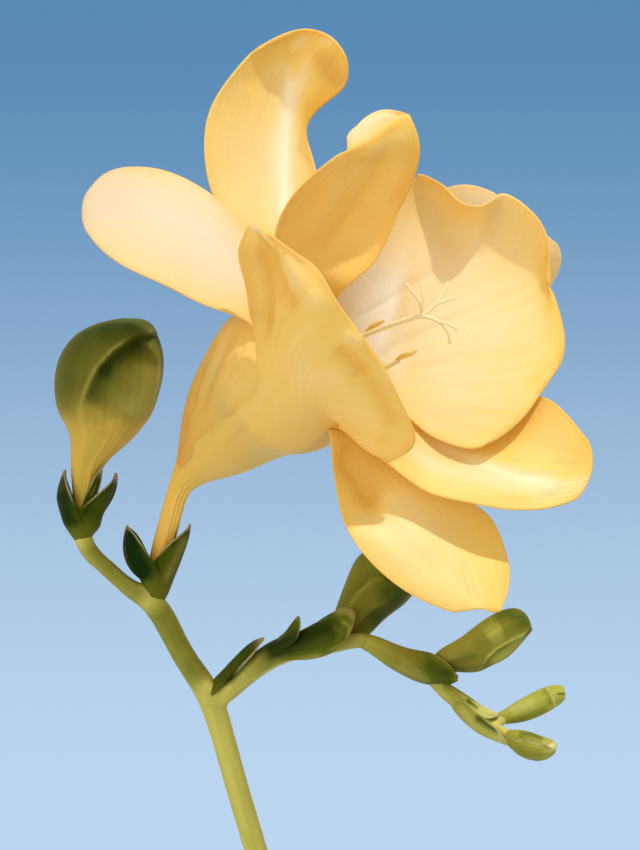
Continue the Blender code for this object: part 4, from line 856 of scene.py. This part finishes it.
STIGMA = [
    [(12, -20.2, 13, 0.24), (12.1, -20.9, 14.4, 0.2), (11.2, -21.4, 15.8, 0.17), (10.4, -21.6, 16.8, 0.2)],
    [(12.1, -20.9, 14.4, 0.18), (12.4, -21.1, 15.6, 0.16), (12.2, -21, 16.7, 0.18)],
    [(12, -20.2, 13, 0.24), (13.6, -20.4, 14.2, 0.2), (14.8, -20, 15.9, 0.17), (15.3, -19.6, 17, 0.2)],
    [(13.7, -20.4, 14.4, 0.18), (15, -20.6, 14.9, 0.16), (16.1, -20.6, 15.2, 0.18)],
    [(12, -20.2, 13, 0.24), (14.2, -20.4, 12.4, 0.2), (15.4, -19.8, 10.9, 0.18), (15.6, -19.4, 9.9, 0.2)],
    [(14.2, -20.4, 12.4, 0.18), (15.4, -20.6, 12.1, 0.16), (16.4, -20.4, 11.6, 0.18)],
]


def build_stamens():
    def groove(theta):
        return 0.22 * np.cos(2 * theta) - 0.10 * np.abs(np.cos(theta)) ** 9

    filaments = [tube_body("filament", rows, 40, 14, (0, 0.8)) for rows in FILAMENTS]
    tips = [tube_body("anther", rows, 26, 24, (1, 1), groove) for rows in ANTHERS]
    return join("stamens", filaments), join("anthers", tips)


def build_pistil():
    branches = [tube_body("branch", rows, 18, 12, (0.6, 1)) for rows in STIGMA]
    return join("pistil_fine", [tube_body("style", STYLE, 60, 16, (0, 0.5))] + branches)


def join(name, parts):
    """One object from several that lie in each other, their values kept."""
    bm = bmesh.new()
    for part in parts:
        bm.from_mesh(part.data)
    base = parts[0]
    bm.to_mesh(base.data)
    bm.free()
    for part in parts[1:]:
        bpy.data.objects.remove(part)
    base.name = base.data.name = name
    shade_smooth(base.data)
    return base


# Stem: rows of (x, depth, z, radius), where level puts the depth in. LOWER_STEM is (x, z) in the row frame.
RACHIS = level([(-7.7, -51, 1.38), (-10.2, -42.6, 1.38), (-12.2, -35.6, 1.45), (-13.7, -31.8, 1.5),
                (-15.9, -28.4, 1.4), (-18, -24.6, 1.42), (-20.3, -21.2, 1.4), (-22.9, -19.5, 1.1),
                (-25.2, -17.5, 1), (-27.6, -15.2, 1.05), (-28.5, -12.9, 1.15)])
LOWER_STEM = [(18.3, 8.2), (11.3, 35), (3.7, 62), (-6.3, 95)]
STEM_RADIUS = 1.35
BRANCHES = [
    level([(-13, -33.4, 1.2), (-10.9, -31.7, 1.3), (-8.4, -29.5, 1.4), (-6, -28, 1.35),
           (-3.4, -27.2, 1.1), (-0.4, -26.7, 1), (2.6, -26.2, 0.95), (5.2, -25.9, 0.9),
           (7.4, -26.9, 0.85), (9.6, -28.1, 0.8), (11.8, -29.1, 0.8), (13.4, -30.3, 0.85),
           (14.8, -31.8, 0.85), (16.6, -33.4, 0.85), (18.5, -34.9, 0.85), (20.4, -36.1, 0.85)]),
    level([(-20.3, -21.2, 1.3), (-20, -19.8, 1.3), (-19.6, -18.2, 1.28)]),
    [(2.8, 0.2, -26.2, 0.8), (3, 1.4, -25.8, 0.9), (3.3, 2.9, -25.1, 1.2)],
    level([(12.2, -29.3, 0.8), (13.4, -29, 0.95), (14.8, -28.6, 1.15)]),
    [(20, 0.1, -36, 0.75), (21.2, 0.5, -35.6, 0.75), (22.6, 0.9, -34.9, 0.8)],
    [(20.2, -0.2, -36.1, 0.75), (21.4, -0.6, -36.7, 0.75), (22.8, -0.9, -37.4, 0.8)],
]
STEM_VOXEL = 0.24
STEM_EASE_FACTOR, STEM_EASE_STEPS = 0.6, 9


def build_stem():
    """One grown body: the branches are melted together and smoothed, with fine ribs running lengthwise."""
    low = [(x - CENTRE[0], 0.0, z - CENTRE[1], STEM_RADIUS) for x, z in LOWER_STEM]
    limbs = [low + RACHIS] + BRANCHES
    body = join("stem_fine", [tube_body("limb", rows, 24 + 14 * len(rows), 28, (0, 0.3)) for rows in limbs])
    melt = body.modifiers.new("melt", "REMESH")
    melt.mode, melt.voxel_size = "VOXEL", STEM_VOXEL * MM
    ease = body.modifiers.new("ease", "SMOOTH")
    ease.factor, ease.iterations = STEM_EASE_FACTOR, STEM_EASE_STEPS
    mesh = bpy.data.meshes.new_from_object(body.evaluated_get(bpy.context.evaluated_depsgraph_get()))
    body.modifiers.clear()
    body.data = mesh
    count = len(mesh.vertices)
    co, no = np.zeros(count * 3), np.zeros(count * 3)
    mesh.vertices.foreach_get("co", co)
    mesh.vertices.foreach_get("normal", no)
    co, no = co.reshape(-1, 3) / MM, no.reshape(-1, 3)
    paths = [seen(spline(rows, np.linspace(0, 1, 40 * len(rows)), pace(rows))[:, :3]) for rows in limbs]
    path = np.concatenate(paths)
    run = np.concatenate([np.append(0, np.cumsum(np.linalg.norm(np.diff(q, axis=0), axis=1))) for q in paths])
    across = np.concatenate([np.cross(unit(np.gradient(q, axis=0)), FRONT) for q in paths])
    near = np.concatenate([np.argmin(((c[:, None] - path[None]) ** 2).sum(axis=2), axis=1)
                           for c in np.array_split(co, max(1, count // 2000))])
    out = co - path[near]
    turn = np.arctan2((out * unit(across[near])).sum(axis=1), -out[:, 1]) / TURN
    raised, tone = marks(flat_of(co)[:, [0, 2]], "stem")
    ribs = 0.018 * ripple(turn * 5, 3) + 0.012 * ripple(run[near] * 0.5, 5) + raised
    mesh.vertices.foreach_set("co", ((co + no * ribs[:, None]) * MM).ravel())
    set_values(mesh, {"leaf": np.stack([turn, run[near] / 10, np.ones(count)], axis=1), "tone": tone})
    shade_smooth(mesh)
    return body


# Bracts: blades bent round a path; rows of (x, depth, z, radius, facing, half width), angles in degrees.
# Facing 0 is towards the eye, 90 to the right of a path that rises and under one that runs to the right.
BRACTS = {
    "bract_fork": [
        level([(-13.4, -33.6, 1.1, -85, 60), (-12.4, -32.7, 1.5, -82, 62), (-11.4, -31.9, 1.8, -80, 60),
               (-9.9, -30.7, 2, -78, 58), (-8.3, -29.3, 2.25, -76, 50), (-7, -28.4, 2.5, -76, 40),
               (-5.9, -27.9, 2.5, -78, 10)])],
    "bracts_bloom": [
        level([(-19.9, -20.6, 1.1, -80, 100), (-19.6, -19.4, 1.6, -80, 96), (-19.55, -18.1, 2.05, -80, 92),
               (-19.85, -16.7, 2.7, -85, 90), (-20.2, -15.2, 3.1, -88, 80),
               (-20.4, -13.2, 3, -90, 60), (-20.8, -11.2, 2.5, -90, 6)]),
        level([(-19.9, -20.6, 1.15, 72, 100), (-19.7, -19.4, 1.6, 72, 96), (-19.55, -18.1, 1.9, 72, 92),
               (-19.25, -16.8, 2.05, 75, 95), (-18.8, -15.2, 2.15, 82, 86), (-18.2, -13.2, 2.3, 88, 62),
               (-17.8, -11.5, 2.2, 90, 6)])],
    "bracts_bud_1": [
        level([(-28.4, -13.5, 0.9, -80, 100), (-28.5, -12.8, 1.45, -80, 96), (-28.5, -12.1, 1.95, -80, 92),
               (-28.5, -10.9, 2.4, -85, 82), (-28.4, -9.2, 2.9, -88, 68), (-28.3, -7.2, 2.8, -90, 46),
               (-28.2, -5.6, 2.4, -90, 6)]),
        level([(-28.4, -13.5, 0.95, 75, 100), (-28.5, -12.8, 1.5, 75, 96), (-28.5, -12.1, 1.9, 75, 92),
               (-28.4, -11, 2.1, 70, 92), (-28.3, -9.6, 2.6, 78, 76), (-28.1, -7.8, 3.3, 84, 52),
               (-28, -5.9, 3.5, 90, 6)]),
        level([(-28.6, -11.4, 1.85, 10, 18), (-28.4, -9.6, 1.95, 18, 20), (-28.2, -7.8, 2.1, 30, 18),
               (-28, -6.2, 2.35, 38, 12), (-27.9, -5, 2.5, 44, 2)])],
    "bract_bud_2": [
        [(-8.8, 0, -29.8, 1.2, -85, 120), (-6.4, 0, -28.2, 1.45, -85, 124), (-4.4, 0, -27.3, 1.65, -85, 122),
         (-2.2, 0, -26.9, 1.9, -80, 120), (-0.2, 0, -26.3, 2.25, -70, 112), (1.6, 0.1, -25.5, 2.5, -60, 92),
         (3.1, 0.2, -24.7, 2.6, -50, 64), (4.3, 0.2, -24, 2.6, -42, 34), (5, 0.2, -23.5, 2.55, -38, 8)],
        level([(-4.6, -27.4, 1.6, -75, 60), (-3.4, -26.9, 2, -70, 58), (-2.4, -26.3, 2.2, -68, 50),
               (-1.5, -25.4, 2.35, -68, 36), (-0.9, -24.7, 2.45, -70, 20), (-0.6, -24.3, 2.5, -70, 5)])],
    "bract_bud_3": [
        level([(5.4, -26, 0.8, 0, 130), (7.2, -26.8, 1.05, 0, 130), (9, -27.8, 1.3, 8, 126),
               (11.2, -28.7, 1.6, 18, 118), (13, -29.1, 1.9, 28, 98), (14.6, -29, 2.1, 38, 72),
               (15.8, -28.9, 2.05, 46, 42), (16.6, -28.9, 1.9, 50, 10)])],
    "bract_bud_4": [
        level([(14.6, -31.6, 0.8, -80, 80), (15.8, -32.6, 1, -80, 80), (17, -33.6, 1.15, -80, 84),
               (18.4, -34.8, 1.25, -80, 84), (19.6, -35.5, 1.3, -80, 66), (20.5, -35.9, 1.3, -82, 38),
               (21.1, -36.1, 1.3, -84, 8)], 0.1)],
    "bract_bud_5": [
        [(16.6, -0.2, -33.3, 0.85, 60, 84), (17.7, -0.3, -34.3, 1.1, 60, 84), (18.9, -0.4, -35.2, 1.25, 60, 84),
         (20.2, -0.5, -36, 1.3, 60, 80), (21.4, -0.6, -36.5, 1.35, 60, 62), (22.3, -0.7, -36.9, 1.35, 60, 34),
         (23, -0.7, -37.2, 1.3, 60, 8)]],
}
BRACT_STEPS, BRACT_THICKNESS = (60, 44), 0.36


def build_bract(key, rows):
    u, v = rim_spaced(BRACT_STEPS[0], both=False), rim_spaced(BRACT_STEPS[1])
    data = spline(rows, u, pace(rows))
    points = seen(data[:, :3])
    _, front, side = path_frame(points)
    angle = np.radians(data[:, 4:5] + data[:, 5:6] * (2 * v - 1)[None, :])[..., None]
    seed = seed_of(key)
    reach = data[:, 3:4] + 0.05 * ripple(v * 4 + u[0], seed)[None, :] * smooth_step(u, 0.3, 1.0)[:, None]
    keel = 0.12 * np.exp(-((v - 0.5) / 0.06) ** 2)[None, :] * smooth_step(u, 0.2, 0.6)[:, None]
    around = np.cos(angle) * front[:, None] + np.sin(angle) * side[:, None]
    grid = points[:, None] + (reach + keel)[..., None] * around
    fray = 0.5 + 0.25 * ripple(v * 7, seed + 2)
    pointed = smooth_step(data[:, 5], 45.0, 12.0)
    papery = smooth_step(u[:, None], 0.72 + 0.16 * fray[None, :], 1.0) * pointed[:, None]
    thin = BRACT_THICKNESS * (1 - 0.6 * smooth_step(u, 0.5, 1.0))[:, None] * np.ones(len(v))
    # tone: the marks' paleness, painted shade and painted highlights among it.
    tone = marks(flat_of(grid)[..., [0, 2]], key)[1]
    return sheet(key + "_blade", grid, u, v, thin, {"papery": papery, "tone": tone})


# Buds, drawn by pairs of outline places, with the folds of their closed tepals
BUDS = {
    "bud_1": dict(sides=200, rings=190, rows=[
        (-29.3, -12.4, -27.4, -12.4, 0, 1), (-29.6, -9.4, -27.1, -9.4, 0, 1.35), (-29.8, -6.6, -26.6, -6.6, 0, 1.75),
        (-29.9, -4.4, -25.5, -4.4, 0, 2.3), (-29.9, -2.4, -23.3, -2.4, 0, 3.3), (-30.3, -0.5, -21.5, -0.5, 0, 4.4),
        (-31.3, 1.4, -20.2, 1.4, 0, 5.4), (-31.8, 3.6, -19.4, 3.6, 0, 6.1), (-31.8, 5.8, -18.9, 5.8, 0, 6.4),
        (-31.3, 8, -18.8, 8, 0, 6.2), (-30.1, 10, -19.2, 10, 0, 5.4), (-28.3, 11.5, -19.8, 11.5, 0, 4.2),
        (-25.6, 12.5, -20.6, 12.4, 0, 2.4), (-22.9, 12.8, -21.9, 12.8, 0, 0.5)],
        carve=[([(-28.7, 1.6), (-28.2, 3.2), (-27.6, 5), (-26.6, 6.8), (-24.9, 8.7), (-23.2, 10), (-21.4, 10.9),
                 (-19.8, 11), (-18.6, 10.7)], 0.85, 4.4, 0.24)]),
    "bud_2": dict(sides=140, rings=120, rows=[
        (2.2, -25.3, 4.6, -26.2, 2.6, 1), (1.6, -23.3, 6.2, -24.9, 3.2, 2.2), (2.4, -20.6, 7.9, -23.2, 3.6, 3.1),
        (3.3, -18.2, 9.6, -21.9, 3.7, 3.7), (4.4, -16, 10.9, -20.6, 3.7, 3.9), (6, -15, 11.9, -18.6, 3.6, 3.3),
        (8.4, -14.8, 11.6, -16.3, 3.5, 1.9), (9.6, -14.9, 10.6, -15.4, 3.5, 0.5)],
        carve=[([(3.2, -23.2), (3.9, -21.2), (4.9, -19.8), (6, -18.9), (7.4, -18.5), (8.8, -18.9), (10.4, -19.9)],
                0.35, -2.6, 0.16),
               ([(4, -24.4), (5.6, -23), (7.4, -21.6)], 0.22, 1.6, 0.05)]),
    "bud_3": dict(sides=140, rings=120, rows=[
        (13.7, -27.7, 14.2, -29.6, 0, 1), (15, -26.6, 16.3, -29.6, 0, 1.6), (17, -25.4, 18.8, -29.6, 0, 2.1),
        (18.8, -24, 20.6, -28.9, 0, 2.45), (20.8, -22.7, 22.6, -27.8, 0, 2.5), (22.8, -22, 24.2, -26.2, 0, 2.2),
        (24.4, -22.4, 25.2, -25, 0, 1.3), (25.3, -23.9, 25.5, -24.6, 0, 0.4)],
        carve=[([(19.2, -29.6), (19.5, -28.7), (20.3, -27.8), (21.4, -26.8), (22.8, -26), (24.2, -25.3), (25.2, -24.2)],
                0.3, 1.4, 0.14),
               ([(13.9, -28.9), (16.6, -28), (19, -27.3)], 0.12, 1.2, 0.04)]),
    "bud_4": dict(sides=80, rings=60, rows=[
        (21.2, -34.6, 21.6, -36, 0.8, 0.7), (22.4, -34, 23.2, -35.8, 0.9, 0.95), (23.8, -33.1, 24.8, -35.5, 1, 1.25),
        (25.4, -32.2, 26.4, -34.9, 1, 1.45), (27, -31.5, 27.9, -34.1, 1, 1.35), (28.6, -31.2, 29.1, -33.2, 1, 0.95),
        (29.3, -31.8, 29.4, -32.4, 1, 0.35)],
        carve=[([(26.7, -31.4), (27.6, -32.2), (28, -33.6)], 0.12, 1.2, 0.08),
               ([(28.4, -32.2), (29.5, -32.2)], 0.2, 0.5, 0.02)]),
    "bud_5": dict(sides=80, rings=60, rows=[
        (22.6, -36.6, 21.6, -37.8, -0.9, 0.75), (24, -36.6, 22.9, -38.8, -1, 1.1),
        (25.4, -36.9, 24.2, -39.8, -1, 1.4), (26.8, -37.4, 26, -40.3, -1, 1.5),
        (27.9, -37.8, 27.4, -40, -1, 1.2), (28.5, -38.4, 28.2, -39.4, -1, 0.5)],
        carve=[([(22.4, -37.8), (24.1, -37.5), (25.4, -37.8), (26.8, -38.4), (28.2, -38.9)], 0.14, 0.9, 0.08)]),
}


def build_bud(key):
    spec = BUDS[key]

    def ribs(theta, s):
        wander = 0.03 * ripple(theta / TURN * 14 + 0.6 * s, seed_of(key))
        return wander * smooth_step(s, 0.02, 0.2) * smooth_step(1 - s, 0.02, 0.25)

    return outline_body(key, spec["rows"], spec["rings"], spec["sides"], spec["carve"], ribs)


# Vase and water, turned about the z axis; profiles are (radius, z)
VASE_HEIGHT = 95.0
VASE_WALL = 2.4
VASE_FLOOR = 6.0
VASE_FOOT = [(0, 1.1), (15, 1), (16.6, 0.6), (17.4, 0.05), (18.4, 0), (19.4, 0.05), (20.2, 0.5), (20.6, 1)]
VASE_SIDE = [(20.9, 1.6), (24.2, 12.5), (25.8, 26), (24.4, 40), (18.6, 53), (12, 64), (9.6, 75), (9.4, 85),
             (10.2, 93.8)]
VASE_LIP, LIP_RADIUS = 9.1, 1.15
FLOOR_ROUND = 4.5
WATER_LEVEL = 58.0
WATER_GAP = 0.04


def vase_faces():
    """Profiles of the outer and inner faces between foot and lip."""
    outer = spline(VASE_SIDE, np.linspace(0, 1, 70))
    t = unit(np.gradient(outer, axis=0))
    inner = outer + np.stack([-t[:, 1], t[:, 0]], axis=1) * VASE_WALL
    return outer.tolist(), inner[inner[:, 1] > VASE_FLOOR + 5.0].tolist()


def lathe(name, profile, segments=160):
    angles = np.linspace(0, TURN, segments, endpoint=False)
    rings = [np.stack([r * np.cos(angles), r * np.sin(angles), np.full(segments, z)], axis=1) for r, z in profile[1:-1]]
    return ring_mesh(name, rings, [(0, 0, profile[0][1]), (0, 0, profile[-1][1])], {})


def floor_corner(inner, inset):
    """Rounded inner corner between the wall and the floor of the vase."""
    r, z = inner[0][0] - inset, inner[0][1]
    low = VASE_FLOOR + inset
    steps = np.radians(np.linspace(0, 90, 10))
    return [(r - FLOOR_ROUND + FLOOR_ROUND * math.cos(a), z - (z - low) * math.sin(a)) for a in steps]


def build_vase():
    outer, inner = vase_faces()
    lip = [(VASE_LIP + LIP_RADIUS * math.cos(a), VASE_HEIGHT - LIP_RADIUS + LIP_RADIUS * math.sin(a))
           for a in np.radians(np.linspace(0, 180, 12))]
    profile = VASE_FOOT + outer + lip + inner[::-1] + floor_corner(inner, 0.0) + [(0.0, VASE_FLOOR + 0.5)]
    return lathe("vase_glass", profile)


def build_water():
    inner = vase_faces()[1]
    side = [(r - WATER_GAP, z) for r, z in inner if z < WATER_LEVEL + 0.9]
    top = side[-1][0]
    meniscus = [(top - 0.25, WATER_LEVEL + 0.45), (top - 0.7, WATER_LEVEL + 0.15), (top - 1.5, WATER_LEVEL)]
    corner = floor_corner(inner, WATER_GAP)[::-1]
    return lathe("vase_water", [(0.0, VASE_FLOOR + 0.56)] + corner + side + meniscus + [(0.0, WATER_LEVEL)])


def clear_material(name, ior, tint):
    """Clear glass or water; lamps shine through it with a light shade."""
    mat, make, shader = new_material(name, 0.0)
    bump = make.bump(make.noise(make.coords(), 45.0, 1.0), 0.25, 0.0006)
    make.fill(shader, {"Base Color": (*tint, 1.0), "Transmission Weight": 1.0, "IOR": ior, "Normal": bump})
    lamp = make.add("LightPath", {}).outputs["Is Shadow Ray"]
    make.surface(lamp, shader, make.add("BsdfTransparent", {"Color": (0.90, 0.93, 0.92, 1.0)}))
    return mat


PETAL_DEEP, PETAL_PALE, PETAL_GLOW = (0.96, 0.74, 0.20), (0.99, 0.90, 0.66), (1.0, 0.88, 0.50)
petal = petal_material("petal", PETAL_DEEP, PETAL_PALE, PETAL_GLOW)
# A dimmer copy of the petal material for the left tepal, which the key lamp lights most: painted shade holding back
# that light.
petal_dimmed_for_key_light = petal_material("petal_dimmed_for_key_light", (0.94, 0.72, 0.20), (0.87, 0.74, 0.50), PETAL_GLOW,
                            white=(0.84, 0.74, 0.62), dense=0.0)
petal_back = petal_material("petal_back", PETAL_DEEP, PETAL_PALE, (1.0, 0.95, 0.84), 0.62, (1.0, 0.93, 0.84), 0.0)
cream = petal_material("filament_cream", (1.0, 0.93, 0.66), (1.0, 0.97, 0.82), (1.0, 0.95, 0.8), 0.15)
ochre = petal_material("anther_ochre", (0.97, 0.76, 0.30), (0.98, 0.84, 0.46), (1.0, 0.8, 0.5), 0.1)
PALE_GREEN, DEEP_GREEN = (0.68, 0.64, 0.20), (0.040, 0.070, 0.004)
PAPERY = (0.60, 0.54, 0.32)
stalk = green_material("stem_skin", [(0.0, (0.58, 0.53, 0.125))], (0.70, 0.66, 0.21), (0.13, 0.15, 0.010),
                       (9.0, 0.8, 0.0))
BRACT_STOPS = [(0.05, (0.15, 0.16, 0.012)), (0.4, (0.064, 0.086, 0.003)), (0.85, (0.046, 0.068, 0.002))]
SHEATH_STOPS = {"bract_bud_2": [(0.0, (0.50, 0.46, 0.10)), (0.14, (0.36, 0.33, 0.055)), (0.4, (0.12, 0.145, 0.008))],
                "bract_bud_3": [(0.0, (0.42, 0.39, 0.07)), (0.4, (0.29, 0.255, 0.036)), (0.75, (0.13, 0.155, 0.009))]}
leafy = green_material("bract_skin", BRACT_STOPS, (0.30, 0.27, 0.05), (0.003, 0.024, 0.001), (14.0, 1.2, 0.0),
                       spec=0.08, through=0.12, papery=PAPERY)
young = green_material("bract_skin_pale",
                       [(0.0, (0.40, 0.37, 0.06)), (0.5, (0.46, 0.45, 0.09)), (0.9, (0.62, 0.58, 0.18))],
                       PALE_GREEN, DEEP_GREEN, (14.0, 1.2, 0.0), through=0.15, papery=(0.70, 0.64, 0.30))
SKINS = {
    "bud_1": ([(0.0, (0.74, 0.52, 0.09)), (0.34, (0.69, 0.46, 0.08)), (0.58, (0.20, 0.19, 0.024)),
               (0.9, (0.105, 0.125, 0.011))], (0.46, 0.44, 0.10), (0.030, 0.055, 0.003)),
    "bud_2": ([(0.0, (0.21, 0.19, 0.020)), (0.9, (0.18, 0.18, 0.014))], (0.34, 0.31, 0.05), (0.035, 0.060, 0.003)),
    "bud_3": ([(0.0, (0.26, 0.22, 0.030)), (0.9, (0.20, 0.20, 0.020))], (0.50, 0.49, 0.10), (0.06, 0.09, 0.006)),
    "bud_4": ([(0.0, (0.38, 0.38, 0.055)), (0.9, (0.44, 0.45, 0.075))], (0.66, 0.64, 0.24), (0.16, 0.20, 0.016)),
    "bud_5": ([(0.0, (0.34, 0.32, 0.040)), (0.9, (0.40, 0.38, 0.07))], (0.74, 0.69, 0.30), (0.06, 0.095, 0.006)),
}

place(build_tube(), "petal_yellow", petal, "bloom")
for key in TEPALS:
    place(build_tepal(key), "petal_yellow", {"left": petal_dimmed_for_key_light, "right_back": petal_back}.get(key, petal))
stamens, anthers = build_stamens()
place(stamens, "petal_yellow", cream)
place(anthers, "petal_yellow", ochre)
place(build_pistil(), "pistil_cream", cream, "pistil")
place(build_stem(), "stem_green", stalk, "stem")
for key, blades in BRACTS.items():
    skin = young if key in ("bract_bud_4", "bract_bud_5") else leafy
    if key in SHEATH_STOPS:
        skin = green_material(key + "_skin", SHEATH_STOPS[key], (0.40, 0.35, 0.08), (0.014, 0.036, 0.001),
                              (10.0, 1.2, 0.0), through=0.1, papery=(0.40, 0.35, 0.12))
    place(join(key + "_leaf", [build_bract(key, rows) for rows in blades]), "bract_green", skin, key)
for key in BUDS:
    skin = green_material(key + "_skin", *SKINS[key], (12.0, 1.2, 0.0), through=0.1)
    place(build_bud(key), "bud_green", skin, key)
place(build_vase(), "glass", clear_material("vase_clear", 1.5, (0.97, 0.99, 0.98)), "vase")
place(build_water(), "water", clear_material("water_clear", 1.33, (0.985, 0.995, 0.99)), "water")


# Floor, light and camera

FLOOR_RADIUS, FLOOR_Z, FLOOR_SIDES = 1340.0, -0.05, 96
SENSOR, FOCAL_PIXELS, PHOTO_HEIGHT = 36.0, 5000.0, 850.0


def build_floor():
    angles = np.linspace(0, TURN, FLOOR_SIDES, endpoint=False)
    verts = [(FLOOR_RADIUS * math.cos(a), FLOOR_RADIUS * math.sin(a), FLOOR_Z) for a in angles] + [(0, 0, FLOOR_Z)]
    obj = mesh_object("floor", verts, [(k, (k + 1) % FLOOR_SIDES, FLOOR_SIDES) for k in range(FLOOR_SIDES)], {})
    mat, make, shader = new_material("floor", 0.75, 0.3)
    grain = make.noise(make.coords(), 60.0, 3.0)
    make.fill(shader, {"Base Color": make.mix(grain, (0.50, 0.545, 0.59), (0.53, 0.575, 0.62))})
    obj.data.materials.append(mat)


def build_world():
    """A blue ground that only the camera sees, and an even warm fill."""
    world = bpy.data.worlds.new("studio")
    world.use_nodes = True
    make, fill = Nodes(world.node_tree), world.node_tree.nodes["Background"]
    make.fill(fill, {"Color": (1.0, 0.94, 0.80, 1.0), "Strength": 0.62})
    height = make.part(make.coords("Generated"), "Z")
    sky = make.mix(make.ramp(height, -0.08, 0.085), (0.50, 0.67, 0.87), (0.10, 0.26, 0.47))
    camera_ray = make.add("LightPath", {}).outputs["Is Camera Ray"]
    make.surface(camera_ray, fill, make.add("Background", {"Color": sky, "Strength": 1.0}), "World Output")
    bpy.context.scene.world = world


def build_light(name, towards, strength, angle, colour):
    lamp = bpy.data.lights.new(name, "SUN")
    lamp.energy, lamp.angle, lamp.color = strength, math.radians(angle), colour
    link_object(name, lamp).rotation_euler = Vector(towards).to_track_quat("Z", "Y").to_euler()


def build_camera():
    data = bpy.data.cameras.new("camera")
    data.sensor_width = SENSOR
    data.lens = FOCAL_PIXELS / PHOTO_HEIGHT * SENSOR
    data.clip_start, data.clip_end = 0.01, 20.0
    obj = link_object("camera", data)
    obj.location = (CENTRE[0] * MM, -EYE * MM, CENTRE[1] * MM)
    obj.rotation_euler = (math.pi / 2, 0, 0)
    bpy.context.scene.camera = obj


build_floor()
build_world()
build_light("key", (0.34, -0.31, 0.89), 2.35, 2.0, (1.0, 0.98, 0.94))
build_light("bounce", (-0.55, -0.80, 0.12), 1.3, 60.0, (1.0, 0.93, 0.75))
build_camera()
bpy.context.scene.view_settings.view_transform = "Standard"
